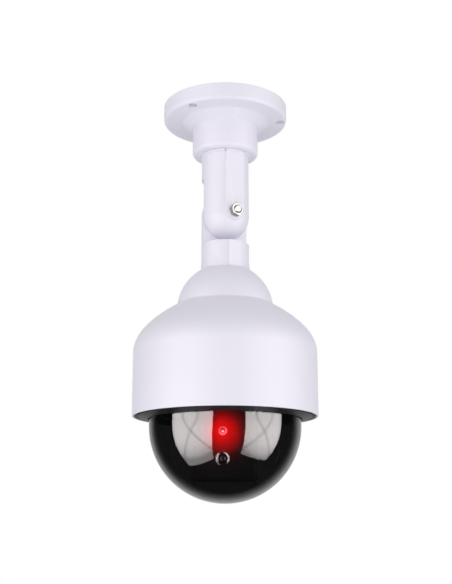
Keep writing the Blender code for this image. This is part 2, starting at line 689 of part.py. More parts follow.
def make_neck_cap():
    skirt = SPIGOT_RADIUS - SPIGOT_WALL
    inner = BALL_RADIUS - BALL_WALL
    bore_angle = math.degrees(math.acos(NECK_BORE / BALL_RADIUS))
    seat_angle = math.degrees(math.asin(NECK_SEAT / BALL_RADIUS))
    tube_angle = math.degrees(math.acos(NECK_SHELF / inner))
    skirt_angle = math.degrees(math.acos(skirt / inner))
    profile = [
        *arc((0.0, BALL_CENTRE), BALL_RADIUS, bore_angle, seat_angle, 7),
        (SPIGOT_RADIUS, NECK_SEAT_HEIGHT),
        (SPIGOT_RADIUS, SPIGOT_FOOT),
        (skirt, SPIGOT_FOOT),
        *arc((0.0, BALL_CENTRE), inner, skirt_angle, tube_angle, 4),
        (NECK_SHELF, TUBE_END),
        (NECK_BORE, TUBE_END),
    ]
    cap = turned("neck_cap", profile, white_abs)
    depth = NECK_SCREW_LENGTH - SHELF_THICKNESS - 2 * GAP + PILOT_SPARE
    for i, angle in enumerate(CHASSIS_ANGLES):
        foot = round_place(NECK_SCREW_CIRCLE, angle, SPIGOT_FOOT)
        top = foot + Vector((0, 0, NECK_BOSS_LENGTH))
        boss = rod(f"neck_boss_{i + 1}", NECK_BOSS_RADIUS, foot, top, sides=12)
        hole = rod(f"neck_hole_{i + 1}", SCREW_RADIUS + GAP, foot - Vector((0, 0, GAP)),
                   foot + Vector((0, 0, depth)), sides=12)
        join(cap, boss)
        cut(cap, hole)
    return smooth(cap)


def bell_radius(height, outer, inner):
    """The bell widens from its top as the square of the height above its foot."""
    share = (height - BELL_FOOT) / BELL_HEIGHT
    return outer - (outer - inner) * share**2


def make_housing():
    outer_top = SEAT_RADIUS + 0.1 * mm
    inner_top = outer_top - BELL_THICKEN * HOUSING_WALL
    bell = [BELL_TOP - BELL_HEIGHT * i / (BELL_POINTS - 1) for i in range(BELL_POINTS)]
    inner_drop = 0.9 * HOUSING_WALL
    inside = [(bell_radius(z + inner_drop, HOUSING_INSIDE, inner_top), z)
              for z in reversed(bell) if z < SHELF_FOOT - HOUSING_WALL]
    shelf_edge = bell_radius(SHELF_FOOT + inner_drop, HOUSING_INSIDE, inner_top)
    profile = [
        *[(bell_radius(z, HOUSING_RADIUS, outer_top), z) for z in bell],
        (HOUSING_RADIUS, RIM),
        (HOUSING_INSIDE, RIM),
        (HOUSING_INSIDE, LEDGE_FOOT),
        (LEDGE_RADIUS, LEDGE_FOOT),
        (LEDGE_RADIUS, LEDGE_TOP),
        (HOUSING_INSIDE, LEDGE_TOP),
        (HOUSING_INSIDE, BELL_FOOT - inner_drop),
        *inside,
        (shelf_edge, SHELF_FOOT),
        (SHELF_HOLE, SHELF_FOOT),
        (SHELF_HOLE, SHELF_TOP),
        (SPIGOT_RADIUS + GAP, SHELF_TOP),
        (SPIGOT_RADIUS + GAP, BELL_TOP),
    ]
    shell = turned("housing_shell", profile, white_abs)
    depth = CHASSIS_SCREW_LENGTH - CHASSIS_THICKNESS - 2 * GAP + PILOT_SPARE
    for i, angle in enumerate(CHASSIS_ANGLES):
        hole = rod(f"shelf_hole_{i + 1}", SCREW_RADIUS + 2 * GAP,
                   round_place(NECK_SCREW_CIRCLE, angle, SHELF_FOOT - PAST),
                   round_place(NECK_SCREW_CIRCLE, angle, SHELF_TOP + PAST), sides=12)
        foot = round_place(CHASSIS_SCREW_CIRCLE, angle, CHASSIS_TOP + GAP)
        top = foot + Vector((0, 0, CHASSIS_BOSS_LENGTH))
        boss = rod(f"housing_boss_{i + 1}", CHASSIS_BOSS_RADIUS, foot, top, sides=16)
        rib = block(f"housing_rib_{i + 1}", (CHASSIS_SCREW_CIRCLE, -RIB_WIDTH / 2, foot.z + 0.2 * mm),
                    (HOUSING_INSIDE + HOUSING_WALL / 2, RIB_WIDTH / 2, top.z - 0.2 * mm))
        rib.rotation_euler.z = angle * degree
        thread = rod(f"housing_pilot_{i + 1}", SCREW_RADIUS + GAP, foot - Vector((0, 0, GAP)),
                     foot + Vector((0, 0, depth)), sides=12)
        join(shell, boss, rib)
        cut(shell, hole, thread)
    slot_reach = HOUSING_INSIDE * math.cos(180 / SHELL_STEPS * degree) - 0.05 * mm
    for i, angle in enumerate(LUG_ANGLES):
        slot = block(f"bayonet_slot_{i + 1}",
                     (LEDGE_RADIUS - PAST, -SLOT_WIDTH / 2, LEDGE_FOOT - OVERLAP),
                     (slot_reach, SLOT_WIDTH / 2, LEDGE_TOP + OVERLAP))
        slot.rotation_euler.z = (angle + BAYONET_TURN) * degree
        cut(shell, slot)
    return smooth(shell)


# Retaining ring and dome ---------------------------------------------------------------

def make_ring():
    inner = DOME_RADIUS + RING_LIP
    tube_inner = RING_TUBE - RING_WALL
    profile = [
        (RING_TUBE, LUG_TOP),
        (RING_TUBE, RIM + RING_EDGE),
        (RING_RADIUS, RIM + RING_EDGE),
        (RING_RADIUS, RIM + 0.1 * mm),
        (inner, RING_INNER_FOOT),
        (inner, RING_SEAT),
        (tube_inner, RING_SEAT),
        (tube_inner, LUG_TOP),
    ]
    ring = turned("retaining_ring", profile, ring_abs)
    for i, angle in enumerate(LUG_ANGLES):
        lug = block(f"lug_{i + 1}", (RING_TUBE - RING_WALL / 2, -LUG_WIDTH / 2, LUG_FOOT),
                    (LUG_RADIUS, LUG_WIDTH / 2, LUG_TOP - 0.1 * mm))
        lug.rotation_euler.z = angle * degree
        join(ring, lug)
    pilot_end = DOME_SEAT - DOME_SCREW_LENGTH + 2 * GAP
    for i in range(DOME_SCREWS):
        hole = rod(f"ring_pilot_{i + 1}", FINE_SCREW_RADIUS + GAP,
                   round_place(DOME_SCREW_CIRCLE, dome_screw_angle(i), pilot_end),
                   round_place(DOME_SCREW_CIRCLE, dome_screw_angle(i), RING_SEAT + PAST), sides=12)
        cut(ring, hole)
    return smooth(ring)


def dome_screw_angle(i):
    return 45.0 + 360.0 * i / DOME_SCREWS


def fine_screw(name, place, length):
    return screw(name, place, -1, length, FINE_SCREW_RADIUS, FINE_HEAD_RADIUS, FINE_HEAD_HEIGHT, zinc)


def body_screw(name, place, down, length):
    return screw(name, place, down, length, SCREW_RADIUS, SCREW_HEAD_RADIUS, SCREW_HEAD_HEIGHT, zinc)


def make_dome():
    flange_top = DOME_SEAT + DOME_FLANGE_THICKNESS
    dome = turned("dome", [
        *arc((0.0, DOME_CENTRE), DOME_INSIDE, -90, 0, DOME_POINTS),
        (DOME_INSIDE, flange_top),
        (DOME_RADIUS + DOME_FLANGE, flange_top),
        (DOME_RADIUS + DOME_FLANGE, DOME_SEAT),
        (DOME_RADIUS, DOME_SEAT),
        *arc((0.0, DOME_CENTRE), DOME_RADIUS, 0, -90, DOME_POINTS),
    ], smoked, ring=False)
    for i in range(DOME_SCREWS):
        hole = rod(f"dome_hole_{i + 1}", FINE_SCREW_RADIUS + GAP,
                   round_place(DOME_SCREW_CIRCLE, dome_screw_angle(i), DOME_SEAT - PAST),
                   round_place(DOME_SCREW_CIRCLE, dome_screw_angle(i), flange_top + PAST), sides=12)
        cut(dome, hole)
    return smooth(dome)


def make_dome_screws():
    height = DOME_SEAT + DOME_FLANGE_THICKNESS + GAP
    return [fine_screw(f"dome_screw_{i + 1}", round_place(DOME_SCREW_CIRCLE, dome_screw_angle(i), height),
                       DOME_SCREW_LENGTH)
            for i in range(DOME_SCREWS)]


# Chassis plate ---------------------------------------------------------------------------

def make_chassis():
    plate = rod("chassis_plate", CHASSIS_RADIUS, (0, 0, CHASSIS_FOOT), (0, 0, CHASSIS_TOP), black_abs,
                SHELL_STEPS)
    below, above = CHASSIS_FOOT - PAST, CHASSIS_TOP + PAST
    post_top = CHASSIS_TOP + POST_HEIGHT
    web_inner = BOX_INSIDE + DOOR_OVERLAP + 2 * GAP
    web_outer = web_inner + DOOR_RAIL
    lip_top = DOOR_FOOT - GAP
    for i, angle in enumerate(CHASSIS_ANGLES):
        cut(plate, rod(f"plate_hole_{i + 1}", SCREW_RADIUS + 2 * GAP,
                       round_place(CHASSIS_SCREW_CIRCLE, angle, below),
                       round_place(CHASSIS_SCREW_CIRCLE, angle, above), sides=12))
    for side in (-1, 1):
        reach = side * CAMERA_SCREW_REACH
        post = side * (BOARD_WIDTH / 2 - POST_RADIUS)
        web = sorted((side * web_inner, side * web_outer))
        lip = sorted((side * (web_inner - DOOR_RAIL), side * (web_outer - 0.1 * mm)))
        cut(plate, rod(f"camera_hole_{side}", SCREW_RADIUS + 2 * GAP, (reach, 0, below), (reach, 0, above),
                       sides=12))
        join(plate, rod(f"post_{side}", POST_RADIUS, (post, BOARD_MIDDLE, CHASSIS_TOP - OVERLAP),
                        (post, BOARD_MIDDLE, post_top), sides=12))
        cut(plate, rod(f"post_pilot_{side}", FINE_SCREW_RADIUS + GAP,
                       (post, BOARD_MIDDLE, CHASSIS_FOOT + 2 * GAP), (post, BOARD_MIDDLE, post_top + PAST),
                       sides=12))
        join(plate,
             block(f"rail_web_{side}", (web[0], BOX_FRONT, lip_top - DOOR_RAIL / 2),
                   (web[1], BOX_BACK, CHASSIS_FOOT + OVERLAP)),
             block(f"rail_lip_{side}", (lip[0], BOX_FRONT + OVERLAP, lip_top - DOOR_RAIL),
                   (lip[1], BOX_BACK - OVERLAP, lip_top)))
    slot_side = SLIDER_SIZE[1] / 2 + GAP
    slot_end = SLIDER_SIZE[0] / 2 + 2 * GAP
    cut(plate,
        block("battery_opening", (-BOX_INSIDE, BOX_FRONT, below), (BOX_INSIDE, BOX_BACK, above)),
        rod("led_wire_hole", LED_WIRE_HOLE, (0, WIRE_RISE, below), (0, WIRE_RISE, above)),
        block("switch_slot", (SWITCH_REACH - slot_end, -slot_side, below),
              (SWITCH_REACH + SWITCH_TRAVEL + slot_end, slot_side, above)))
    return smooth(plate)


# Dummy camera block --------------------------------------------------------------------------

def make_camera_body():
    half = CAMERA_WIDTH / 2
    body = block("camera_body", (-half, -CAMERA_FRONT, CAMERA_FOOT), (half, CAMERA_BACK, CAMERA_TOP),
                 black_abs)
    shape = bmesh.new()
    shape.from_mesh(body.data)
    for face in [f for f in shape.faces if f.normal.z > 0.5]:
        shape.faces.remove(face)
    rounded = [e for e in shape.edges if len(e.link_faces) == 2]
    bmesh.ops.bevel(shape, geom=rounded, offset=CAMERA_ROUND, segments=3, affect="EDGES", profile=0.5)
    shape.to_mesh(body.data)
    shape.free()
    wall = body.modifiers.new("wall", "SOLIDIFY")
    wall.thickness = CAMERA_WALL
    wall.offset = -1.0
    boss_foot = CAMERA_TOP - CAMERA_BOSS_LENGTH
    for side in (-1, 1):
        reach = side * CAMERA_SCREW_REACH
        join(body, rod(f"camera_boss_{side}", CAMERA_BOSS_RADIUS, (reach, 0, boss_foot),
                       (reach, 0, CAMERA_TOP - 0.1 * mm)))
        cut(body, rod(f"camera_pilot_{side}", SCREW_RADIUS + GAP, (reach, 0, boss_foot + OVERLAP),
                      (reach, 0, CAMERA_TOP + PAST), sides=12))
    outside, inside = -CAMERA_FRONT - PAST, CAMERA_WALL + PAST - CAMERA_FRONT
    cut(body,
        rod("led_hole", LED_RADIUS + GAP, (0, outside, LED), (0, inside, LED)),
        rod("lens_hole", SLEEVE_RADIUS + GAP, (0, outside, LENS), (0, inside, LENS)))
    return smooth(body)


def forward(made, height, reach):
    """Turns a piece's Z to the front and puts its origin this far in front of the axis."""
    made.rotation_euler.x = 90 * degree
    made.location = (0, -reach, height)
    return made


def make_lens():
    back = -LENS_BARREL
    bezel = turned("lens_bezel", [
        (BEZEL_RADIUS, BEZEL_PROUD), (BEZEL_RADIUS, GAP), (SLEEVE_RADIUS, GAP), (SLEEVE_RADIUS, back),
        (BEZEL_BORE, back), (BEZEL_BORE, BEZEL_PROUD),
    ], chrome, steps=SMALL_STEPS)
    inside = BEZEL_BORE - GAP
    glass = turned("lens_glass", [
        (0.0, LENS_BULGE), (0.5 * inside, 0.75 * LENS_BULGE), (inside, 0.0), (inside, back), (0.0, back),
    ], lens_black, steps=SMALL_STEPS, ring=False)
    return forward(smooth(bezel), LENS, CAMERA_FRONT), forward(smooth(glass), LENS, CAMERA_FRONT)


def make_led():
    collar = -CAMERA_WALL - GAP
    back = LED_PROUD - LED_LENGTH
    led = turned("led", [
        *arc((0.0, LED_PROUD - LED_RADIUS), LED_RADIUS, 90, 0, 4),
        (LED_RADIUS, collar), (LED_RADIUS + LED_COLLAR, collar), (LED_RADIUS + LED_COLLAR, back), (0.0, back),
    ], red_lens, ring=False, steps=12)
    return forward(smooth(led), LED, CAMERA_FRONT)


# Batteries ----------------------------------------------------------------------------------

def cell_place(row):
    return BOX_FRONT + CELL_GAP + CELL_RADIUS + row * (2 * CELL_RADIUS + CELL_GAP)


def make_battery_box():
    outside = BOX_INSIDE + BOX_WALL
    box = block("battery_box", (-outside, BOX_START, BOX_FOOT),
                (outside, BOX_BACK + BOX_WALL, BOX_ROOF + BOX_WALL), black_abs)
    cut(box, block("battery_space", (-BOX_INSIDE, BOX_FRONT, BOX_FOOT - PAST),
                   (BOX_INSIDE, BOX_BACK, BOX_ROOF)))
    tab = -(CELL_SPAN / 2 + GAP + CONTACT_THICKNESS / 2)
    slot_half = CONTACT_THICKNESS / 2 + 2 * GAP
    for row in (0, 1):
        place = cell_place(row)
        cut(box, block(f"tab_slot_{row + 1}", (tab - slot_half, place - TAB_HALF - GAP, BOX_ROOF - PAST),
                       (tab + slot_half, place + TAB_HALF + GAP, BOX_ROOF + BOX_WALL + PAST)))
    return box


def make_cells():
    cells = []
    body = CELL_LENGTH - CELL_NUB_LENGTH
    for row, side in ((0, -1), (1, 1)):
        cell = turned(f"battery_{row + 1}", [
            (0.0, CELL_NUB_LENGTH), (CELL_NUB_RADIUS, CELL_NUB_LENGTH), (CELL_NUB_RADIUS, 0.0),
            (CELL_RADIUS - CELL_CHAMFER, 0.0), (CELL_RADIUS, -CELL_CHAMFER),
            (CELL_RADIUS, CELL_CHAMFER - body), (CELL_RADIUS - CELL_CHAMFER, -body), (0.0, -body),
        ], cell_wrap, steps=SMALL_STEPS, ring=False)
        cell.rotation_euler.y = side * 90 * degree
        cell.location = (side * (CELL_SPAN / 2 - CELL_NUB_LENGTH), cell_place(row), CELL_HEIGHT)
        cells.append(smooth(cell))
    return cells


def make_contacts():
    plate_near = CELL_SPAN / 2 + GAP
    plate_far = plate_near + CONTACT_THICKNESS
    low = CELL_HEIGHT - CONTACT_HALF
    high = CELL_HEIGHT + CONTACT_HALF
    link = block("contact_link", (plate_near, cell_place(0) - CONTACT_HALF, low),
                 (plate_far, cell_place(1) + CONTACT_HALF, high), nickel)
    made = [link]
    for name, row in (("contact_positive", 0), ("contact_negative", 1)):
        place = cell_place(row)
        contact = block(name, (-plate_far, place - CONTACT_HALF, low),
                        (-plate_near, place + CONTACT_HALF, high), nickel)
        tab = block(name + "_tab", (-plate_far, place - TAB_HALF, high - OVERLAP),
                    (-plate_near, place + TAB_HALF, TAB_TOP))
        made.append(join(contact, tab))
    return made


def make_springs():
    springs = []
    start = CELL_SPAN / 2 - SPRING_WIRE
    length = SPRING_LENGTH - 2 * SPRING_WIRE - GAP
    count = 8 * SPRING_TURNS
    for row, side in ((0, 1), (1, -1)):
        coil = []
        for i in range(count + 1):
            share = i / count
            turn = 360.0 * SPRING_TURNS * share * degree
            radius = SPRING_RADIUS * (1.0 - 0.35 * share)
            coil.append((side * (start - length * share), cell_place(row) + radius * math.cos(turn),
                         CELL_HEIGHT + radius * math.sin(turn)))
        springs.append(tube(f"battery_spring_{row + 1}", coil, SPRING_WIRE, nickel))
    return springs


def make_battery_door():
    reach = BOX_INSIDE + DOOR_OVERLAP
    door = block("battery_door", (-reach, BOX_FRONT - DOOR_OVERLAP, DOOR_FOOT),
                 (reach, BOX_BACK + DOOR_OVERLAP, DOOR_TOP), black_abs)
    for i in range(GRIPS):
        back = BOX_BACK - GRIP_INSET - GRIP_PITCH * i
        join(door, block(f"door_grip_{i + 1}", (-GRIP_LENGTH / 2, back - GRIP_WIDTH, DOOR_FOOT - GRIP_PROUD),
                         (GRIP_LENGTH / 2, back, DOOR_FOOT + OVERLAP)))
    return door


# Circuit ----------------------------------------------------------------------------------------

def make_board():
    half = BOARD_WIDTH / 2
    rest = BOARD_TOP + GAP
    board = block("circuit_board", (-half, -BOARD_FRONT, BOARD_FOOT),
                  (half, BOARD_DEPTH - BOARD_FRONT, BOARD_TOP), board_green)
    made = [board]
    for number, side in ((1, -1), (2, 1)):
        post = side * (half - POST_RADIUS)
        cut(board, rod(f"board_hole_{number}", FINE_SCREW_RADIUS + GAP,
                       (post, BOARD_MIDDLE, BOARD_FOOT - PAST), (post, BOARD_MIDDLE, BOARD_TOP + PAST),
                       sides=12))
        made.append(fine_screw(f"board_screw_{number}", (post, BOARD_MIDDLE, rest), BOARD_SCREW_LENGTH))
    wide, deep, tall = CHIP_SIZE
    chip_back = BOARD_MIDDLE + PARTS_INSET + deep / 2
    made.append(block("flasher_chip", (-wide / 2, chip_back - deep, rest), (wide / 2, chip_back, rest + tall),
                      chip_black))
    side_at = PARTS_INSET + CAPACITOR_RADIUS - BOARD_FRONT
    can_at = -2 * CAPACITOR_RADIUS
    can = rod("timing_capacitor", CAPACITOR_RADIUS, (can_at, side_at, rest),
              (can_at, side_at, rest + CAPACITOR_HEIGHT), can_blue)
    resistor_at = rest + RESISTOR_RADIUS
    resistor = rod("led_resistor", RESISTOR_RADIUS, (RESISTOR_LENGTH / 2, side_at, resistor_at),
                   (1.5 * RESISTOR_LENGTH, side_at, resistor_at), resistor_tan, sides=12)
    return [*made, smooth(can), smooth(resistor)]


def make_switch():
    wide, deep, tall = SWITCH_SIZE
    body = block("switch_body", (SWITCH_MIDDLE - wide / 2, -deep / 2, SWITCH_FOOT),
                 (SWITCH_MIDDLE + wide / 2, deep / 2, SWITCH_FOOT + tall), black_abs)
    slider_top = SWITCH_FOOT + SLIDER_RISE
    half, side = SLIDER_SIZE[0] / 2, SLIDER_SIZE[1] / 2
    room = half + 2 * GAP
    cut(body, block("switch_pocket", (SWITCH_REACH - room, -side - GAP, SWITCH_FOOT - PAST),
                    (SWITCH_REACH + SWITCH_TRAVEL + room, side + GAP, slider_top + 2 * GAP)))
    slider = block("switch_slider", (SWITCH_REACH - half, -side, slider_top - SLIDER_SIZE[2]),
                   (SWITCH_REACH + half, side, slider_top), white_abs)
    return body, slider


def make_wires():
    """Leads inside the housing: LED to board, cells to board, and cell to board through the switch.
    Their routes are eased through points between the pieces that they join."""
    led_back = LED_LENGTH - LED_PROUD - CAMERA_FRONT + GAP + WIRE_RADIUS
    pad_height = BOARD_TOP + GAP
    edge = BOARD_DEPTH - BOARD_FRONT
    tab = -(CELL_SPAN / 2 + GAP + CONTACT_THICKNESS / 2)
    roof = TAB_TOP + GAP
    high = roof + 6 * mm
    arch = BOARD_TOP + 6 * mm
    switch_top = SWITCH_FOOT + SWITCH_SIZE[2] + GAP
    entry = SWITCH_MIDDLE - 2 * mm
    leaving = SWITCH_MIDDLE + 2 * mm
    made = []
    for x, finish, name in ((-1.3 * mm, red_wire, "led_wire_red"), (1.3 * mm, black_wire, "led_wire_black")):
        made.append(tube(name, eased([
            (x, led_back, LED),
            (x, WIRE_RISE, LED + 5 * mm),
            (x, WIRE_RISE, CHASSIS_TOP - 1 * mm),
            (x, WIRE_RISE - 0.5 * mm, arch),
            (x, edge - 2.5 * mm, arch + 1 * mm),
            (x, edge - 3.5 * mm, pad_height),
        ]), WIRE_RADIUS, finish))
    made.append(tube("battery_wire_black", eased([
        (tab, cell_place(1), roof),
        (tab, cell_place(1) - 2 * mm, high),
        (tab + 6 * mm, 8 * mm, high - 4 * mm),
        (-13 * mm, -8 * mm, arch + 4 * mm),
        (-10 * mm, edge - 3.5 * mm, arch),
        (-10 * mm, edge - 4 * mm, pad_height),
    ]), WIRE_RADIUS, black_wire))
    made.append(tube("battery_wire_red", eased([
        (tab, cell_place(0), roof),
        (tab + 1 * mm, cell_place(0) - 2 * mm, high - 1 * mm),
        (-16 * mm, 6 * mm, high - 2 * mm),
        (10 * mm, 6 * mm, high - 5 * mm),
        (entry - 4 * mm, 3 * mm, switch_top + 6 * mm),
        (entry, 0.5 * mm, switch_top + 4 * mm),
        (entry, 0.0, switch_top),
    ], 18), WIRE_RADIUS, red_wire))
    made.append(tube("switch_wire", eased([
        (leaving, 0.0, switch_top),
        (leaving, -1 * mm, switch_top + 4 * mm),
        (leaving - 14 * mm, -10 * mm, switch_top + 5 * mm),
        (12 * mm, edge - 1 * mm, arch),
        (8 * mm, edge - 4 * mm, arch - 1 * mm),
        (8 * mm, edge - 4.5 * mm, pad_height),
    ]), WIRE_RADIUS, red_wire))
    return made


# Assembly -----------------------------------------------------------------------------------------

make_flange()
hang(swivel_axis, make_upper_arm(), *make_pivot(),
     swivel_washer("base_swivel_washer", TRUNNION_BORE + SWIVEL_WASHER_LAP,
                   TRUNNION_TOP + GAP + SWIVEL_WASHER_THICKNESS),
     swivel_screw("base_swivel_screw", TRUNNION_TOP + SWIVEL_WASHER_THICKNESS + 2 * GAP, -1))
hang(tilt_axis, make_lower_arm(),
     swivel_washer("neck_swivel_washer", NECK_BORE + NECK_WASHER_LAP, ROOT_END - GAP),
     swivel_screw("neck_swivel_screw", ROOT_END - SWIVEL_WASHER_THICKNESS - 2 * GAP, 1))

screws = []
for number, direction in enumerate(CHASSIS_ANGLES, 1):
    screws.append(body_screw(f"neck_screw_{number}",
                             round_place(NECK_SCREW_CIRCLE, direction, SHELF_FOOT - GAP), 1,
                             NECK_SCREW_LENGTH))
    screws.append(body_screw(f"chassis_screw_{number}",
                             round_place(CHASSIS_SCREW_CIRCLE, direction, CHASSIS_FOOT - GAP), 1,
                             CHASSIS_SCREW_LENGTH))
for number, side in ((1, -1), (2, 1)):
    screws.append(body_screw(f"camera_screw_{number}", (side * CAMERA_SCREW_REACH, 0, CHASSIS_TOP + GAP), -1,
                             CAMERA_SCREW_LENGTH))
switch_body, switch_slider = make_switch()
hang(housing_axis, make_neck_cap(), make_housing(), make_chassis(), make_camera_body(), *make_lens(),
     make_led(), make_battery_box(), *make_cells(), *make_contacts(), *make_springs(), *make_board(),
     switch_body, *make_wires(), *screws, make_battery_door(), switch_slider)
hang(dome_axis, make_ring(), make_dome(), *make_dome_screws())
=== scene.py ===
"""Looks of the dome camera: finer shapes, finishes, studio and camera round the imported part.

The frame is the part's own: +Z up, origin at the centre of the ceiling face, front to -Y.
Shapes are given in millimetres.
"""

import math

import bmesh
import bpy
from mathutils import Matrix, Vector


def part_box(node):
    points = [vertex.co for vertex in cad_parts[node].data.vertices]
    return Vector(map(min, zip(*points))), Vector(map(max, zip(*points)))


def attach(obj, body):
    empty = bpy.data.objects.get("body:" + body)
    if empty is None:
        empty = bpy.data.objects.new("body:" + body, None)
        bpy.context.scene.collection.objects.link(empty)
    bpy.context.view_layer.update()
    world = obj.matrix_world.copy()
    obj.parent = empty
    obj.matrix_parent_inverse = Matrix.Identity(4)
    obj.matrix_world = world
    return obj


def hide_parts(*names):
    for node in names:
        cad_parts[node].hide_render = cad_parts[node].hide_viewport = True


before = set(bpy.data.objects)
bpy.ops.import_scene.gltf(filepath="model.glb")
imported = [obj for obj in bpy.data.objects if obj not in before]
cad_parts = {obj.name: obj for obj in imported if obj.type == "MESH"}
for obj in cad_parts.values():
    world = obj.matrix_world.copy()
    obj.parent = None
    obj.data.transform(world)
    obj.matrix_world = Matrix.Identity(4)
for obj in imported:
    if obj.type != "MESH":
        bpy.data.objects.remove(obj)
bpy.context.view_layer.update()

mm = 0.001
degree = math.radians(1)

# Clearances
GAP = 0.3
RUNNING_GAP = 0.35
PAST = 2.0                      # how far a cutter runs past what it cuts
OVERLAP = 0.5                   # how far joined shapes run into each other

# Ceiling flange with its collar
FLANGE_RADIUS = 44.0
FLANGE_DEPTH = 11.9
FLANGE_FILLET = 2.5
FLANGE_WALL = 2.5
FLANGE_RIBS = 6
RIB_WIDTH = 1.6
CONE_DEPTH = 5.1
CONE_SPREAD = 6.8
COLLAR_STEP = 0.8
COLLAR_LENGTH = 20.4
COLLAR_FILLET = 2.8
COLLAR_SKIN = 2.3
SOCKET_WALL = 2.0
SOCKET_POCKET = 1.95
SOCKET_ROOF = 3.0
FIXING_HOLE_RADIUS = 2.2
FIXING_SINK_RADIUS = 3.1
FIXING_SINK_DEPTH = 3.2
FIXING_BOSS_RADIUS = 4.2
FIXING_CIRCLE = FLANGE_RADIUS - FIXING_BOSS_RADIUS - OVERLAP
FIXING_ANGLES = (238.7, 358.6, 118.6)

# Tilt arm
ARM_RADIUS = 16.6
ARM_TURN = 27.8                 # degrees that the pivot bolt points to the right of the front
ARM_DROP = 45.1
ARM_REACH = 67.75
ROOT_ABOVE_LEDGE = 18.3
ROOT_LEDGE = 20.9
ROOT_FLARE = 0.45
FLARE_LENGTH = 6.0
BEAD_WIDTH = 1.6
BEAD_HEIGHT = 1.0
BEAD_NOTCH_HALF = 0.3
BEAD_NOTCH_PLACE = 0.35         # from the pad's edge to the middle of the notch
PAD_PROUD = 0.4
UPPER_PAD_HALF = 6.6
LOWER_PAD_HALF = 4.4
TRUNNION_RADIUS = 8.0
HALF_JOINT = 0.15

# Metric hardware
BOLT_RADIUS = 2.4
BOLT_FLATS = 8.0
BOLT_HEAD = 3.5
NUT_HEIGHT = 4.0
NUT_TURN = 17.0
BOLT_END = 1.0
WASHER_THICKNESS = 1.0
WASHER_RADIUS = 5.0
SWIVEL_WASHER_THICKNESS = 1.5
SWIVEL_WASHER_LAP = (3.65, 2.6) # past its bore, at the base and at the neck
SWIVEL_SCREW_LENGTH = 13.0
BODY_SCREW_RADIUS = 1.3
BODY_SCREW_LENGTH = 11.0
CHASSIS_SCREW_LENGTH = 12.0
SMALL_SCREW_RADIUS = 1.1
RING_SCREW_LENGTH = 4.0
BOARD_SCREW_LENGTH = 5.0
SMALL_HEAD_HEIGHT = 1.5
PILOT_SPARE = 2.4               # how far a pilot hole goes on past its screw

# Neck cap and housing
BALL_RADIUS = 33.2
BALL_WALL = 2.2
NECK_TUBE_WALL = 2.6
NECK_TUBE_END = 20.0
NECK_SEAT = 3.6
NECK_BOSS_RADIUS = 3.0
NECK_BOSS_LENGTH = 14.5
LIP_RISE = 0.9                  # how far the bell's lip reaches up the ball
SPIGOT_LENGTH = 3.4
SPIGOT_STEP = 2.3
SPIGOT_WALL = 1.6
DOME_RADIUS = 51.0
HOUSING_RADIUS = 62.5
HOUSING_WALL = 1.4
SHELF_THICKNESS = 2.3
BELL_HEIGHT = 33.1
SKIRT_HEIGHT = 43.1
SCREW_ANGLES = (30.0, 150.0, 270.0)

# Bayonet, retaining ring and dome
LEDGE_DEPTH = 2.0
LEDGE_ABOVE_RIM = 6.1
LEDGE_THICKNESS = 2.0
LUG_WIDTH = 12.0
LUG_HEIGHT = 2.0
SLOT_WIDTH = 19.0
BAYONET_TURN = 20.0
LUG_ANGLES = (90.0, 210.0, 330.0)
RING_WALL = 1.5
RING_GAP = 0.55
RING_EDGE = 2.0
RING_CONE = 2.1
RING_LIP = 0.5
GROOVE = 1.7                    # shadow line between the ring and the rim
DOME_WALL = 1.6
DOME_FLANGE = 5.0
DOME_FLANGE_THICKNESS = 1.6
DOME_STRAIGHT = 3.75
DOME_SCREW_ANGLES = (45.0, 135.0, 225.0, 315.0)
DOME_PILOT_DEPTH = 3.1

# Chassis, camera block and circuit
CHASSIS_ABOVE_RIM = 14.7
CHASSIS_THICKNESS = 2.4
CHASSIS_BOSS_RADIUS = 3.4
CHASSIS_BOSS_LENGTH = 24.0
RIB_INSET = 0.2
CAMERA_WIDTH = 44.0
CAMERA_FRONT = 24.0
CAMERA_BACK = 9.0
CAMERA_WALL = 1.8
CAMERA_ROUND = 3.0
CAMERA_BOSS_RADIUS = 3.2
CAMERA_BOSS_LENGTH = 12.0
LENS_HEIGHT = 14.85
LED_ABOVE_LENS = 17.6
LED_RADIUS = 2.5
LED_LENGTH = 8.6
LED_PROUD = 4.4
BEZEL_RADIUS = 4.7
BEZEL_BORE = 3.4
BEZEL_PROUD = 1.3
SLEEVE_RADIUS = 4.0
LENS_BARREL = 6.0
CELL_RADIUS = 7.25
CELL_LENGTH = 50.5
CELL_NUB_RADIUS = 2.6
CELL_NUB_LENGTH = 1.0

# Heights that follow from the sizes above
COLLAR_TOP = -(FLANGE_DEPTH + CONE_DEPTH)
COLLAR_FOOT = COLLAR_TOP - COLLAR_LENGTH
SOCKET_RADIUS = ARM_RADIUS + RUNNING_GAP
COLLAR_RADIUS = SOCKET_RADIUS + SOCKET_WALL + SOCKET_POCKET + COLLAR_SKIN
SOCKET_TOP = COLLAR_TOP - SOCKET_ROOF
TRUNNION_TOP = COLLAR_TOP + GAP
TRUNNION_BORE = TRUNNION_RADIUS + RUNNING_GAP
PIVOT = COLLAR_FOOT - ARM_DROP
UPPER_LEDGE = COLLAR_FOOT - ROOT_ABOVE_LEDGE
LOWER_LEDGE = PIVOT - ROOT_LEDGE
PAD_PLANE = ARM_RADIUS + PAD_PROUD
PAD_TOP = COLLAR_FOOT - GAP
BALL_CENTRE = PIVOT - ARM_REACH
ROOT_RADIUS = ARM_RADIUS + ROOT_FLARE
NECK_BORE = ROOT_RADIUS + RUNNING_GAP
NECK_SHELF = NECK_BORE + NECK_TUBE_WALL
TUBE_END = BALL_CENTRE + NECK_TUBE_END
ROOT_END = TUBE_END - GAP
NECK_SEAT_HEIGHT = BALL_CENTRE + NECK_SEAT
SEAT_RADIUS = math.sqrt(BALL_RADIUS**2 - NECK_SEAT**2)
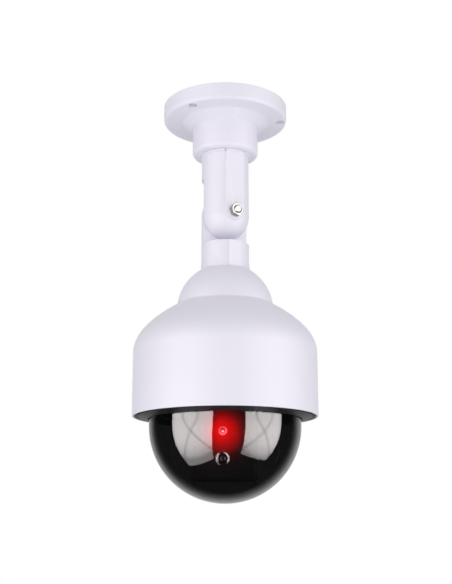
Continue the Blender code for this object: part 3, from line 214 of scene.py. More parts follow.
SPIGOT_RADIUS = SEAT_RADIUS - SPIGOT_STEP
SPIGOT_FOOT = NECK_SEAT_HEIGHT - SPIGOT_LENGTH
NECK_SCREW_CIRCLE = SPIGOT_RADIUS - 5.2
BELL_TOP = NECK_SEAT_HEIGHT - GAP
BELL_FOOT = BELL_TOP - BELL_HEIGHT
RIM = BELL_FOOT - SKIRT_HEIGHT
HOUSING_INSIDE = HOUSING_RADIUS - HOUSING_WALL
SHELF_TOP = SPIGOT_FOOT - GAP
SHELF_FOOT = SHELF_TOP - SHELF_THICKNESS
SHELF_HOLE = NECK_SCREW_CIRCLE - 4.5
LEDGE_RADIUS = HOUSING_INSIDE - LEDGE_DEPTH
LEDGE_FOOT = RIM + LEDGE_ABOVE_RIM
LEDGE_TOP = LEDGE_FOOT + LEDGE_THICKNESS
LUG_FOOT = LEDGE_TOP + GAP
LUG_TOP = LUG_FOOT + LUG_HEIGHT
RING_RADIUS = HOUSING_INSIDE - RING_GAP
RING_TUBE = LEDGE_RADIUS - RING_GAP
LUG_RADIUS = HOUSING_INSIDE - 2 * RING_GAP
RING_SEAT = RIM + RING_EDGE + 0.2
RING_INNER_FOOT = RIM - RING_CONE
DOME_CENTRE = RING_INNER_FOOT - DOME_STRAIGHT
DOME_INSIDE = DOME_RADIUS - DOME_WALL
DOME_SCREW_CIRCLE = DOME_RADIUS + DOME_FLANGE / 2 + 0.2
DOME_SEAT = RING_SEAT + GAP
DOME_FLANGE_TOP = DOME_SEAT + DOME_FLANGE_THICKNESS
CHASSIS_FOOT = RIM + CHASSIS_ABOVE_RIM
CHASSIS_TOP = CHASSIS_FOOT + CHASSIS_THICKNESS
CHASSIS_SCREW_CIRCLE = HOUSING_INSIDE - 7.1
CAMERA_TOP = CHASSIS_FOOT - GAP
CAMERA_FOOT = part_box("camera_body")[0][2] / mm
LENS = CAMERA_FOOT + LENS_HEIGHT
LED = LENS + LED_ABOVE_LENS
CAMERA_SCREW_REACH = CAMERA_WIDTH / 2 - CAMERA_WALL - CAMERA_BOSS_RADIUS + OVERLAP / 2


# Shader sums ---------------------------------------------------------------------

class Value:
    """A shader value that takes part in sums: an expression on it adds its Math nodes."""

    def __init__(self, nodes, socket):
        self.nodes = nodes
        self.socket = socket

    def sum(self, operation, first, second=0.0, clamp=False):
        return self.nodes.node("ShaderNodeMath", {"operation": operation, "use_clamp": clamp},
                               {0: first, 1: second})

    def __add__(self, other):
        return self.sum("ADD", self, other)

    __radd__ = __add__

    def __sub__(self, other):
        return self.sum("SUBTRACT", self, other)

    def __rsub__(self, other):
        return self.sum("SUBTRACT", other, self)

    def __mul__(self, other):
        return self.sum("MULTIPLY", self, other)

    __rmul__ = __mul__

    def __truediv__(self, other):
        return self.sum("DIVIDE", self, other)

    def __pow__(self, other):
        return self.sum("POWER", self, other)

    def __gt__(self, other):
        return self.sum("GREATER_THAN", self, other)

    def apply(self, operation, other=0.0):
        return self.sum(operation, self, other)

    def clamped(self):
        return self.sum("ADD", self, 0.0, clamp=True)

    def between(self, low, high, first=0.0, last=1.0):
        """The first value below the low limit, the last above the high one, smooth in between."""
        return self.nodes.node("ShaderNodeMapRange", {"interpolation_type": "SMOOTHSTEP"}, {
            "Value": self, "From Min": low, "From Max": high, "To Min": first, "To Max": last})


class Nodes:
    """A node tree, and the one way in which its nodes are made."""

    def __init__(self, tree):
        self.tree = tree

    def feed(self, socket, value):
        if isinstance(value, Value):
            self.tree.links.new(value.socket, socket)
        elif isinstance(value, tuple) and socket.type == "RGBA":
            socket.default_value = (*value, 1.0)
        else:
            socket.default_value = value

    def node(self, kind, settings=None, inputs=None, output=0):
        """Any node, from its type, its settings and the values or links of its sockets."""
        made = self.tree.nodes.new(kind)
        for key, value in (settings or {}).items():
            setattr(made, key, value)
        for key, value in (inputs or {}).items():
            self.feed(made.inputs[key], value)
        return Value(self, made.outputs[output])

    def parts(self, coordinates="Object"):
        """The three coordinates of a point on the object at rest in metres, or of a ray's way."""
        where = self.node("ShaderNodeTexCoord", output=coordinates)
        split = self.node("ShaderNodeSeparateXYZ", inputs={0: where})
        return [Value(self, socket) for socket in split.socket.node.outputs]


class Finish(Nodes):
    """A node material that ends in one Principled shader."""

    def __init__(self, name, **sockets):
        self.material = bpy.data.materials.new(name)
        self.material.use_nodes = True
        super().__init__(self.material.node_tree)
        self.shader = self.tree.nodes["Principled BSDF"]
        for key, value in sockets.items():
            self.set(key.replace("_", " "), value)

    def set(self, key, value):
        self.feed(self.shader.inputs[key], value)

    def place(self):
        """Where a point lies on the object at rest, in metres."""
        return self.node("ShaderNodeTexCoord", output="Object")

    def noise(self, size, detail=2.0, rough=0.5, stretch=None):
        """Noise from 0 to 1 with features of this size in millimetres."""
        where = self.place()
        if stretch:
            where = self.node("ShaderNodeVectorMath", {"operation": "MULTIPLY"}, {0: where, 1: stretch})
        return self.node("ShaderNodeTexNoise", inputs={
            "Vector": where, "Scale": 1.0 / (size * mm), "Detail": detail, "Roughness": rough})

    def cells(self, size, feature="F1"):
        """The distance from the middle, or the edge, of cells of this size in millimetres."""
        return self.node("ShaderNodeTexVoronoi", {"feature": feature},
                         {"Vector": self.place(), "Scale": 1.0 / (size * mm)}, "Distance")

    def mix(self, share, first, second):
        """A blend of two colours."""
        return self.node("ShaderNodeMix", {"data_type": "RGBA"}, {0: share, 6: first, 7: second}, 2)

    def edges(self):
        """1 on sharp outer edges, 0 elsewhere."""
        return self.node("ShaderNodeNewGeometry", output="Pointiness").between(0.52, 0.6)

    def distance(self, *point):
        """The distance in millimetres from a point given in millimetres."""
        return self.node("ShaderNodeVectorMath", {"operation": "DISTANCE"},
                         {0: self.place(), 1: tuple(c * mm for c in point)}, "Value") * 1000.0

    def glow(self, share, colour):
        """Emission of this colour where the share is 1 and none where it is 0."""
        self.set("Emission Color", self.mix(share, (0.0, 0.0, 0.0), colour))

    def bump(self, height, depth):
        """Raises the surface by a height from 0 to 1 times a depth in millimetres."""
        self.set("Normal", self.node("ShaderNodeBump", inputs={
            "Strength": 1.0, "Distance": depth * mm, "Height": height}))


# Finishes ------------------------------------------------------------------------

def moulded(name, colour, shade, dust, roughness, grain, depth, gloss=0.5):
    """Injection-moulded plastic: spark-eroded grain, slow waves, faint dust, and polished edges."""
    finish = Finish(name, Specular_IOR_Level=gloss)
    fine = finish.noise(grain, 3.0, 0.6)
    waves = finish.noise(26.0, 1.0)
    scuffs = finish.noise(3.0, 4.0, 0.7, (1.0, 1.0, 0.15)).between(0.6, 0.8)
    cloud = finish.noise(60.0, 3.0, 0.55)
    worn = finish.edges()
    tint = finish.mix(cloud.between(0.3, 0.75), colour, shade)
    tint = finish.mix(fine.between(0.62, 0.9) * 0.10, tint, dust)
    finish.set("Base Color", finish.mix(worn * 0.25, tint, dust))
    finish.set("Roughness", roughness + 0.08 * fine + 0.05 * cloud + 0.06 * scuffs - 0.10 * worn)
    finish.bump(fine + 8.0 * waves, depth)
    return finish


def machined(name, colour, shade, roughness, scratch):
    """Plated steel: turned or drawn scratches, cloudy plating and dark specks."""
    finish = Finish(name, Metallic=1.0)
    drawn = finish.noise(scratch, 5.0, 0.7, (0.08, 1.0, 1.0))
    cloud = finish.noise(2.2, 3.0, 0.6)
    specks = finish.cells(1.3).between(0.18, 0.06)
    worn = finish.edges()
    tint = finish.mix(cloud.between(0.35, 0.7), colour, shade)
    tint = finish.mix(specks * cloud.between(0.55, 0.7) * 0.6, tint, tuple(0.35 * c for c in shade))
    finish.set("Base Color", finish.mix(worn * 0.5, tint, tuple(min(1.0, 1.2 * c) for c in colour)))
    finish.set("Roughness", roughness + 0.22 * cloud.between(0.35, 0.75) + 0.1 * drawn - 0.08 * worn)
    finish.bump(drawn + cloud, 0.02)
    return finish


def smoked_dome():
    """Smoked acrylic: clear near-black gloss with fine wiping marks, a little dust, and a painted red
    glow for the lamp's light spreading in it."""
    finish = Finish("smoked_acrylic", Base_Color=(0.004, 0.004, 0.005), IOR=1.62, Coat_Weight=1.0,
                    Coat_Roughness=0.012, Coat_IOR=1.62, Emission_Strength=0.3)
    wiped = finish.noise(0.5, 4.0, 0.7, (0.3, 1.0, 0.06)).between(0.62, 0.85)
    dust = finish.cells(2.6).between(0.07, 0.02) * finish.noise(9.0).between(0.5, 0.7)
    finish.set("Roughness", 0.025 + 0.05 * wiped + 0.25 * dust)
    # painted light: a red glow in the emission, brightest near the lamp, stands in for its light spreading in
    # the dome
    haze = finish.distance(0.0, -DOME_RADIUS + 0.6, LED - 3.0)
    finish.glow((-1.0 * (haze / 10.0) ** 2.0).apply("EXPONENT"), (1.0, 0.0, 0.0))
    edge = finish.node("ShaderNodeLayerWeight", inputs={"Blend": 0.35}, output="Facing")
    finish.set("Alpha", (0.46 + 0.5 * edge ** 2.0 + 0.1 * dust).clamped())
    finish.bump(finish.noise(14.0, 1.0), 0.02)
    return finish


def camera_block():
    """The camera block's black plastic, with the red lamp's pool of light painted on its front as a glow."""
    finish = moulded("camera_block", (0.006, 0.006, 0.0065), (0.009, 0.009, 0.0095), (0.1, 0.1, 0.1),
                     0.5, 0.5, 0.02, 0.12)
    front = -CAMERA_FRONT - LED_PROUD
    # painted light: a red pool of emission round the lamp stands in for the light it casts on the block's
    # front
    near = finish.distance(0.0, front, LED)
    pool = finish.distance(0.5, front, LED - 3.0)
    fall = (-1.0 * (near / 9.5) ** 2.2).apply("EXPONENT")
    light = fall * 0.8 + (1 - pool.between(10.0, 14.0)) * 0.12 + (-0.2 * near).apply("EXPONENT") * 0.25
    finish.glow(light.clamped(), (1.0, 0.0, 0.0))
    finish.set("Emission Strength", 2.2)
    return finish


def red_lamp():
    """A lit 5 mm lamp: red body, a pale bright rim, and a bright spot low on the right that is its hot core
    with a painted highlight.
    """
    finish = Finish("red_led", Base_Color=(0.6, 0.01, 0.02), Roughness=0.08, Coat_Weight=1.0,
                    IOR=1.5, Emission_Strength=2.4)
    x, _, z = finish.parts()
    off = ((x * 1000.0) ** 2.0 + (z * 1000.0 - LED) ** 2.0) ** 0.5
    # hot core with a painted highlight: a near-white glow low on the right of the lamp's tip
    hot_core_and_painted_highlight = finish.distance(0.3, -CAMERA_FRONT - LED_PROUD, LED - 0.9).between(1.1, 0.3)
    flaws = finish.noise(0.9, 2.0).between(0.35, 0.7)
    glow = finish.mix(off.between(0.6 * LED_RADIUS, 0.9 * LED_RADIUS), (0.75, 0.0, 0.03), (1.0, 0.25, 0.28))
    glow = finish.mix(flaws * 0.5, glow, (0.9, 0.02, 0.08))
    finish.set("Emission Color", finish.mix(hot_core_and_painted_highlight, glow, (1.0, 0.85, 0.8)))
    return finish


def chromed():
    """Chrome plating with a slight haze."""
    finish = Finish("chrome_trim", Metallic=1.0)
    fine = finish.noise(0.25, 4.0, 0.7)
    haze = finish.noise(1.6, 2.0)
    finish.set("Base Color", finish.mix(haze, (0.95, 0.95, 0.96), (0.86, 0.87, 0.89)))
    finish.set("Roughness", 0.1 + 0.08 * haze + 0.06 * fine)
    finish.bump(fine, 0.004)
    return finish


def coated_glass():
    """The dummy lens: black glass with a coating, violet in the middle and green further out."""
    finish = Finish("lens_glass", Roughness=0.04, Coat_Weight=0.5, IOR=1.6)
    off = finish.distance(0.0, -CAMERA_FRONT, LENS)
    ring = off.between(1.2, 3.0)
    tint = finish.mix(off.between(0.0, 2.2), (0.02, 0.01, 0.04), (0.01, 0.05, 0.035))
    finish.set("Base Color", finish.mix(ring, tint, (0.005, 0.005, 0.006)))
    finish.bump(finish.noise(2.0), 0.003)
    return finish


def wound(name, base, band, size, roughness):
    """Plastic sleeve or insulation: a slight sheen change and drawn lines along it."""
    finish = Finish(name, IOR=1.5)
    lines = finish.noise(size, 4.0, 0.6, (1.0, 0.2, 0.2))
    cloud = finish.noise(8.0)
    finish.set("Base Color", finish.mix(lines.between(0.4, 0.8), base, band))
    finish.set("Roughness", roughness + 0.15 * cloud)
    finish.bump(lines, 0.03)
    return finish


def board_finish():
    """Green laminate with copper tracks under the lacquer and a woven ground."""
    finish = Finish("board_laminate", Coat_Weight=0.6, IOR=1.5)
    x, y, _ = finish.parts()
    tracks = finish.cells(4.2, "DISTANCE_TO_EDGE").between(0.12, 0.08)
    weave = (x * 5200.0).apply("SINE") * (y * 5200.0).apply("SINE")
    ground = finish.mix(0.5 + 0.5 * weave, (0.015, 0.09, 0.03), (0.02, 0.13, 0.045))
    finish.set("Base Color", finish.mix(tracks * 0.8, ground, (0.05, 0.24, 0.08)))
    finish.set("Roughness", 0.32 + 0.1 * finish.noise(0.8))
    finish.bump(tracks + 0.15 * weave, 0.05)
    return finish


def banded(name, base, bands, roughness):
    """A body with coloured bands; each band is (from, to, colour) in millimetres along X."""
    finish = Finish(name, IOR=1.5)
    along = finish.parts()[0] * 1000.0
    fine = finish.noise(0.6, 3.0)
    tint = finish.mix(fine.between(0.3, 0.8), base, tuple(0.8 * c for c in base))
    for start, end, colour in bands:
        tint = finish.mix((along > start) * (1 - (along > end)), tint, colour)
    finish.set("Base Color", tint)
    finish.set("Roughness", roughness + 0.15 * fine)
    finish.bump(fine, 0.03)
    return finish


white = moulded("white_abs", (0.81, 0.79, 0.88), (0.79, 0.77, 0.86), (0.88, 0.87, 0.92),
                0.46, 0.55, 0.012, 0.2)
black = moulded("black_abs", (0.018, 0.018, 0.02), (0.03, 0.03, 0.032), (0.12, 0.12, 0.12),
                0.42, 0.5, 0.02)
ring_black = moulded("ring_abs", (0.014, 0.014, 0.015), (0.022, 0.022, 0.023), (0.12, 0.12, 0.12),
                     0.28, 0.4, 0.01, 0.14)
chip_black = moulded("chip_resin", (0.02, 0.02, 0.02), (0.035, 0.035, 0.035), (0.1, 0.1, 0.1),
                     0.5, 0.3, 0.02)
block_black = camera_block()
smoked = smoked_dome()
zinc = machined("zinc_steel", (0.34, 0.35, 0.335), (0.25, 0.26, 0.25), 0.26, 0.35)
nickel = machined("nickel_contacts", (0.72, 0.68, 0.6), (0.6, 0.57, 0.5), 0.25, 0.5)
chrome = chromed()
glass = coated_glass()
lamp = red_lamp()
laminate = board_finish()
can_blue = wound("capacitor_sleeve", (0.012, 0.03, 0.09), (0.02, 0.045, 0.13), 0.8, 0.35)
red_lead = wound("red_wire", (0.42, 0.012, 0.012), (0.5, 0.03, 0.02), 0.9, 0.3)
black_lead = wound("black_wire", (0.012, 0.012, 0.013), (0.03, 0.03, 0.03), 0.9, 0.3)
resistor_tan = banded("resistor_body", (0.58, 0.42, 0.24), (
    (4.4, 5.0, (0.45, 0.1, 0.02)), (5.8, 6.4, (0.02, 0.02, 0.02)), (7.2, 7.8, (0.45, 0.1, 0.02)),
    (8.7, 9.2, (0.5, 0.32, 0.08))), 0.4)
cell_wrap = banded("cell_wrap", (0.02, 0.13, 0.05), (
    (-30.0, -12.5, (0.30, 0.20, 0.06)), (-12.5, -11.5, (0.6, 0.6, 0.58))), 0.3)


# Shapes --------------------------------------------------------------------------

def rounded(points, closed):
    """Profile points, with an arc in place of each corner that gives a radius as its third number."""
    made = []
    count = len(points)
    for i, point in enumerate(points):
        corner = Vector(point[:2])
        at_end = not closed and i in (0, count - 1)
        if len(point) < 3 or at_end:
            made.append(tuple(corner))
            continue
        back = Vector(points[i - 1][:2]) - corner
        on = Vector(points[(i + 1) % count][:2]) - corner
        half = back.angle(on) / 2
        reach = min(point[2] / math.tan(half), 0.49 * back.length, 0.49 * on.length)
        radius = reach * math.tan(half)
        centre = corner + (back.normalized() + on.normalized()).normalized() * radius / math.sin(half)
        start = corner + back.normalized() * reach - centre
        end = corner + on.normalized() * reach - centre
        sweep = start.angle_signed(end)
        steps = max(3, round(abs(sweep) / (14 * degree)))
        for k in range(steps + 1):
            turn = -sweep * k / steps
            made.append((centre.x + start.x * math.cos(turn) - start.y * math.sin(turn),
                         centre.y + start.x * math.sin(turn) + start.y * math.cos(turn)))
    return made


def arc(centre, radius, start, end, points):
    """Points on an arc in the (radius, height) plane, from one angle in degrees to another."""
    turns = [(start + (end - start) * i / (points - 1)) * degree for i in range(points)]
    return [(centre[0] + radius * math.cos(t), centre[1] + radius * math.sin(t)) for t in turns]


def add(name, mesh):
    made = bpy.data.objects.new(name, mesh)
    bpy.context.scene.collection.objects.link(made)
    return made


def from_shape(name, shape):
    """An object from a bmesh whose sizes are in millimetres."""
    bmesh.ops.scale(shape, vec=(mm, mm, mm), verts=shape.verts)
    mesh = bpy.data.meshes.new(name)
    shape.to_mesh(mesh)
    shape.free()
    return add(name, mesh)


def turned(name, profile, steps=128, ring=True):
    """A profile turned round Z. It runs down the outer side; a ring's profile closes on itself."""
    points = rounded(profile, ring)
    points = [p for i, p in enumerate(points) if i == 0 or (Vector(p) - Vector(points[i - 1])).length > 1e-4]
    edges = [(i, i + 1) for i in range(len(points) - 1)]
    if ring:
        edges.append((len(points) - 1, 0))
    mesh = bpy.data.meshes.new(name)
    mesh.from_pydata([(radius * mm, 0.0, height * mm) for radius, height in points], edges, [])
    made = add(name, mesh)
    screw = made.modifiers.new("turn", "SCREW")
    screw.steps = steps
    screw.render_steps = steps
    screw.use_merge_vertices = True
    screw.merge_threshold = 0.000001
    return made


def box_shape(low, high):
    """The bmesh of a box between two corners."""
    low, high = Vector(low), Vector(high)
    where = Matrix.Translation((low + high) / 2) @ Matrix.Diagonal((*(high - low), 1.0))
    shape = bmesh.new()
    bmesh.ops.create_cube(shape, size=1.0, matrix=where)
    return shape


def block(name, low, high):
    """A box between two corners."""
    return from_shape(name, box_shape(low, high))


def rod(name, radius, start, end, sides=48, spin=0.0, tip=None):
    """A cylinder, prism or cone between two points."""
    start, end = Vector(start), Vector(end)
    along = (end - start).to_track_quat("Z", "Y").to_matrix().to_4x4()
    where = Matrix.Translation((start + end) / 2) @ along @ Matrix.Rotation(spin * degree, 4, "Z")
    shape = bmesh.new()
    bmesh.ops.create_cone(shape, cap_ends=True, segments=sides, radius1=radius,
                          radius2=radius if tip is None else tip, depth=(end - start).length, matrix=where)
    return from_shape(name, shape)


def round_place(circle, angle, height=0.0):
    """A point at this angle in degrees on a circle round Z."""
    return Vector((circle * math.cos(angle * degree), circle * math.sin(angle * degree), height))


def cad_size(node):
    """The low corner, the high corner and the middle of a CAD piece's box, in millimetres."""
    low, high = (Vector(corner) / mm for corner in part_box(node))
    return low, high, (low + high) / 2


def softened(made, width, limit):
    """Rounds a piece's edges with a narrow bevel."""
    bevel = made.modifiers.new("soft_edges", "BEVEL")
    bevel.width = width * mm
    bevel.segments = 3
    bevel.angle_limit = limit * degree
    bevel.harden_normals = True


def combine(made, other, operation):
    step = made.modifiers.new(operation.lower(), "BOOLEAN")
    step.operation = operation
    step.object = other
    other.hide_render = True
    return made


def cut(made, *others):
    for other in others:
        combine(made, other, "DIFFERENCE")
    return made


def join(made, *others):
    for other in others:
        combine(made, other, "UNION")
    return made


def turn_z(made, angle):
    made.rotation_euler.z = angle * degree
    return made


def settled(made, finish, crease=28.0, soften=0.0):
    """The piece as one plain mesh, its cutters gone, its creases sharp and its edges softened."""
    bpy.context.view_layer.update()
    graph = bpy.context.evaluated_depsgraph_get()
    mesh = bpy.data.meshes.new_from_object(made.evaluated_get(graph), depsgraph=graph)
    mesh.transform(made.matrix_world)
    made.matrix_world = Matrix.Identity(4)
    helpers = [step.object for step in made.modifiers if step.type == "BOOLEAN"]
    made.modifiers.clear()
    made.data = mesh
    for helper in helpers:
        bpy.data.objects.remove(helper)
    shape = bmesh.new()
    shape.from_mesh(mesh)
    bmesh.ops.remove_doubles(shape, verts=shape.verts, dist=1e-7)
    shape.to_mesh(mesh)
    shape.free()
    mesh.materials.clear()
    mesh.materials.append(finish.material)
    for polygon in mesh.polygons:
        polygon.material_index = 0
    mesh.shade_smooth()
    mesh.set_sharp_from_angle(angle=crease * degree)
    if soften:
        softened(made, soften, 35)
    normals = made.modifiers.new("even_normals", "WEIGHTED_NORMAL")
    normals.keep_sharp = True
    return made


def fitted(made, body, slot, *nodes):
    """The finished piece stands for its CAD nodes and moves with a body."""
    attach(made, body)
    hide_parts(*nodes)
    return made


# Ceiling flange --------------------------------------------------------------------

def make_flange():
    floor = FLANGE_WALL - FLANGE_DEPTH
    cone_foot = COLLAR_RADIUS + COLLAR_STEP
    pocket_inner = SOCKET_RADIUS + SOCKET_WALL
    pocket_outer = COLLAR_RADIUS - COLLAR_SKIN
    flange = turned("flange", [
        (FLANGE_RADIUS, 0.0, 0.3),
        (FLANGE_RADIUS, -FLANGE_DEPTH, FLANGE_FILLET),
        (cone_foot + CONE_SPREAD, -FLANGE_DEPTH, 0.5),
        (cone_foot, COLLAR_TOP, 0.2),
        (COLLAR_RADIUS, COLLAR_TOP, 0.3),
        (COLLAR_RADIUS, COLLAR_FOOT, COLLAR_FILLET),
        (SOCKET_RADIUS, COLLAR_FOOT, 0.3),
        (SOCKET_RADIUS, SOCKET_TOP),
        (TRUNNION_BORE, SOCKET_TOP),
        (TRUNNION_BORE, COLLAR_TOP, 0.3),
        (pocket_inner, COLLAR_TOP, 0.3),
        (pocket_inner, COLLAR_FOOT + COLLAR_SKIN),
        (pocket_outer, COLLAR_FOOT + COLLAR_SKIN),
        (pocket_outer, COLLAR_TOP + FLANGE_WALL / 2, 0.8),
        (cone_foot + CONE_SPREAD - FLANGE_WALL, floor, 0.8),
        (FLANGE_RADIUS - FLANGE_WALL, floor, 0.8),
        (FLANGE_RADIUS - FLANGE_WALL, 0.0, 0.3),
    ], 144)
    for i in range(FLANGE_RIBS):
        rib = block("rib", (pocket_outer + OVERLAP, -RIB_WIDTH / 2, floor - OVERLAP),
                    (FLANGE_RADIUS - FLANGE_WALL / 2, RIB_WIDTH / 2, -RIB_WIDTH))
        join(flange, turn_z(rib, FIXING_ANGLES[0] + 30.0 + 60.0 * i))
    past = Vector((0, 0, PAST))
    lift = Vector((0, 0, FLANGE_WALL / 2))
    sink_depth = Vector((0, 0, FIXING_SINK_DEPTH))
    for angle in FIXING_ANGLES:
        top = round_place(FIXING_CIRCLE, angle)
        foot = round_place(FIXING_CIRCLE, angle, -FLANGE_DEPTH)
        join(flange, rod("boss", FIXING_BOSS_RADIUS, foot + lift, top))
        cut(flange,
            rod("hole", FIXING_HOLE_RADIUS, foot - past, top + past),
            rod("sink", FIXING_SINK_RADIUS, foot - past, foot + sink_depth))
    fitted(settled(flange, white), "base", "white_abs", "ceiling_flange")


# Tilt arm ------------------------------------------------------------------------

def pad(side, half, top, foot, rounded_top=False, rounded_foot=False):
    """A flat raised strip on one face of the arm; side is -1 at the front and 1 at the back."""
    outline = arc((0.0, foot), half, 180, 360, 33) if rounded_foot else [(-half, foot), (half, foot)]
    outline += arc((0.0, top), half, 0, 180, 33) if rounded_top else [(half, top), (-half, top)]
    shape = bmesh.new()
    near, far = side * PAD_PLANE, side * ARM_RADIUS / 2
    face = shape.faces.new([shape.verts.new((x, near, z)) for x, z in outline])
    pushed = bmesh.ops.extrude_face_region(shape, geom=[face])["geom"]
    moved = [v for v in pushed if isinstance(v, bmesh.types.BMVert)]
    bmesh.ops.translate(shape, vec=(0.0, far - near, 0.0), verts=moved)
    bmesh.ops.recalc_face_normals(shape, faces=shape.faces)
    return from_shape("pad", shape)


def pivot_hole():
    reach = PAD_PLANE + PAST
    return rod("pivot_hole", BOLT_RADIUS + GAP, (0, -reach, PIVOT), (0, reach, PIVOT))


def bead_notch(side):
    """The little gap between the bead and the edge of the front pad."""
    middle = side * (UPPER_PAD_HALF + BEAD_NOTCH_PLACE)
    past = 0.2
    return block("bead_notch", (middle - BEAD_NOTCH_HALF, -PAD_PLANE - PAST, PAD_TOP - BEAD_HEIGHT - past),
                 (middle + BEAD_NOTCH_HALF, -ARM_RADIUS / 2, PAD_TOP + past))


def make_upper_arm():
    far = 2 * ARM_RADIUS
    bead = ARM_RADIUS + BEAD_WIDTH
    bead_top = COLLAR_FOOT - 0.1
    arm = turned("tilt_arm_upper", [
        (0.0, TRUNNION_TOP),
        (TRUNNION_RADIUS, TRUNNION_TOP, 0.4),
        (TRUNNION_RADIUS, SOCKET_TOP - GAP),
        (ARM_RADIUS, SOCKET_TOP - GAP, 0.4),
        (ARM_RADIUS, bead_top),
        (bead, bead_top, 0.35),
        (bead, PAD_TOP - BEAD_HEIGHT, 0.35),
        (ARM_RADIUS, PAD_TOP - BEAD_HEIGHT),
        *arc((0.0, PIVOT), ARM_RADIUS, 0, -90, 33),
    ], ring=False)
    join(arm,
         pad(-1, UPPER_PAD_HALF, PAD_TOP, PIVOT, rounded_foot=True),
         pad(1, UPPER_PAD_HALF, PAD_TOP, UPPER_LEDGE - GAP))
    cut(arm,
        bead_notch(-1), bead_notch(1),
        block("upper_half", (-far, -HALF_JOINT, PIVOT - far), (far, far, UPPER_LEDGE)),
        pivot_hole(),
        rod("pilot", BOLT_RADIUS + GAP, (0, 0, TRUNNION_TOP + GAP),
            (0, 0, TRUNNION_TOP - SWIVEL_SCREW_LENGTH - GAP)))
    fitted(turned_arm(settled(arm, white, soften=0.14)), "upper_link", "white_abs", "upper_arm")


def make_lower_arm():
    far = 2 * ARM_RADIUS
    pad_foot = BALL_CENTRE + math.sqrt(BALL_RADIUS**2 - ROOT_RADIUS**2) + 2 * GAP
    arm = turned("tilt_arm_lower", [
        *arc((0.0, PIVOT), ARM_RADIUS, 90, 0, 33),
        (ARM_RADIUS, pad_foot + FLARE_LENGTH, 8.0),
        (ROOT_RADIUS, pad_foot, 4.0),
        (ROOT_RADIUS, ROOT_END, 0.4),
        (0.0, ROOT_END),
    ], ring=False)
    join(arm,
         pad(-1, LOWER_PAD_HALF, LOWER_LEDGE + GAP, pad_foot),
         pad(1, UPPER_PAD_HALF, PIVOT, pad_foot, rounded_top=True))
    cut(arm,
        block("lower_half", (-far, -far, LOWER_LEDGE), (far, HALF_JOINT, PIVOT + far)),
        pivot_hole(),
        rod("pilot", BOLT_RADIUS + GAP, (0, 0, ROOT_END - GAP), (0, 0, ROOT_END + SWIVEL_SCREW_LENGTH + GAP)))
    fitted(turned_arm(settled(arm, white, soften=0.14)), "lower_link", "white_abs", "lower_arm")


def turned_arm(made):
    """Turns an arm's piece, and its mesh, to the side that the pivot faces."""
    made.data.transform(Matrix.Rotation(ARM_TURN * degree, 4, "Z"))
    return made


# Metal hardware ----------------------------------------------------------------------

def along_y(made, y, height):
    """Lays a turned piece down: its Z points to the front, its origin this far along Y."""
    made.data.transform(Matrix.Translation((0.0, y * mm, height * mm)) @ Matrix.Rotation(90 * degree, 4, "X"))
    return made


def ridged(radius, top, foot, pitch=0.8, depth=0.28):
    """A screw thread's outline down a shank, as one ridge after another."""
    points = []
    height = top
    while height - pitch > foot:
        points += [(radius - depth, height), (radius, height - 0.4 * pitch), (radius, height - 0.55 * pitch)]
        height -= pitch
    return points


def make_hexagon(name, low, high, bore, chamfer_low, chamfer_high, spin):
    """A hexagon nut or bolt head along Z, with its corners turned off, before its mesh is settled."""
    corner = BOLT_FLATS / 2 / math.cos(30 * degree)
    flat = BOLT_FLATS / 2
    drop = 0.28 * (corner - flat) * 2
    low_cut = 2.2 * drop if chamfer_low else 0.0
    high_cut = 2.2 * drop if chamfer_high else 0.0
    body = rod(name, corner, (0, 0, low), (0, 0, high), 6, spin)
    profile = [
        (0.0, high + 0.01), (flat - 0.1 if chamfer_high else corner + 0.5, high + 0.01),
        (corner + 0.5, high - high_cut), (corner + 0.5, low + low_cut),
        (flat - 0.1 if chamfer_low else corner + 0.5, low - 0.01), (0.0, low - 0.01),
    ]
    profile = [p for i, p in enumerate(profile) if i == 0 or p != profile[i - 1]]
    combine(body, turned("corner_turning", profile, 96, ring=False), "INTERSECT")
    if bore:
        cut(body, rod("bore", bore, (0, 0, low - PAST), (0, 0, high + PAST)),
            rod("bore_mouth", bore, (0, 0, high - 0.35), (0, 0, high + 0.35), tip=bore + 0.7))
    return body


def make_pivot():
    washer_near = -PAD_PLANE - GAP
    head_near = washer_near - WASHER_THICKNESS - GAP
    nut_near = PAD_PLANE + GAP
    nut_far = nut_near + NUT_HEIGHT
    end = nut_far + BOLT_END
    bolt = turned("pivot_hex_bolt", [
        (0.0, end),
        (BOLT_RADIUS - 0.22, end, 0.2),
        *ridged(BOLT_RADIUS, end - 0.35, nut_near - 3.0),
        (BOLT_RADIUS - 0.12, nut_near - 3.2),
        (BOLT_RADIUS - 0.12, head_near - BOLT_HEAD / 2),
        (0.0, head_near - BOLT_HEAD / 2),
    ], 64, ring=False)
    join(bolt, make_hexagon("bolt_head", head_near - BOLT_HEAD, head_near, 0.0, True, False, 0.0))
    washer = turned("pivot_flat_washer", [
        (WASHER_RADIUS, washer_near, 0.2), (WASHER_RADIUS, washer_near - WASHER_THICKNESS, 0.2),
        (BOLT_RADIUS + GAP, washer_near - WASHER_THICKNESS, 0.1), (BOLT_RADIUS + GAP, washer_near, 0.1),
    ], 64)
    nut = make_hexagon("pivot_hex_nut", nut_near, nut_far, BOLT_RADIUS + GAP, False, True, NUT_TURN)
    for made, node in ((bolt, "pivot_bolt"), (washer, "pivot_washer"), (nut, "pivot_nut")):
        piece = turned_arm(along_y(settled(made, zinc, soften=0.08), 0.0, PIVOT))
        fitted(piece, "upper_link", "zinc_steel", node)


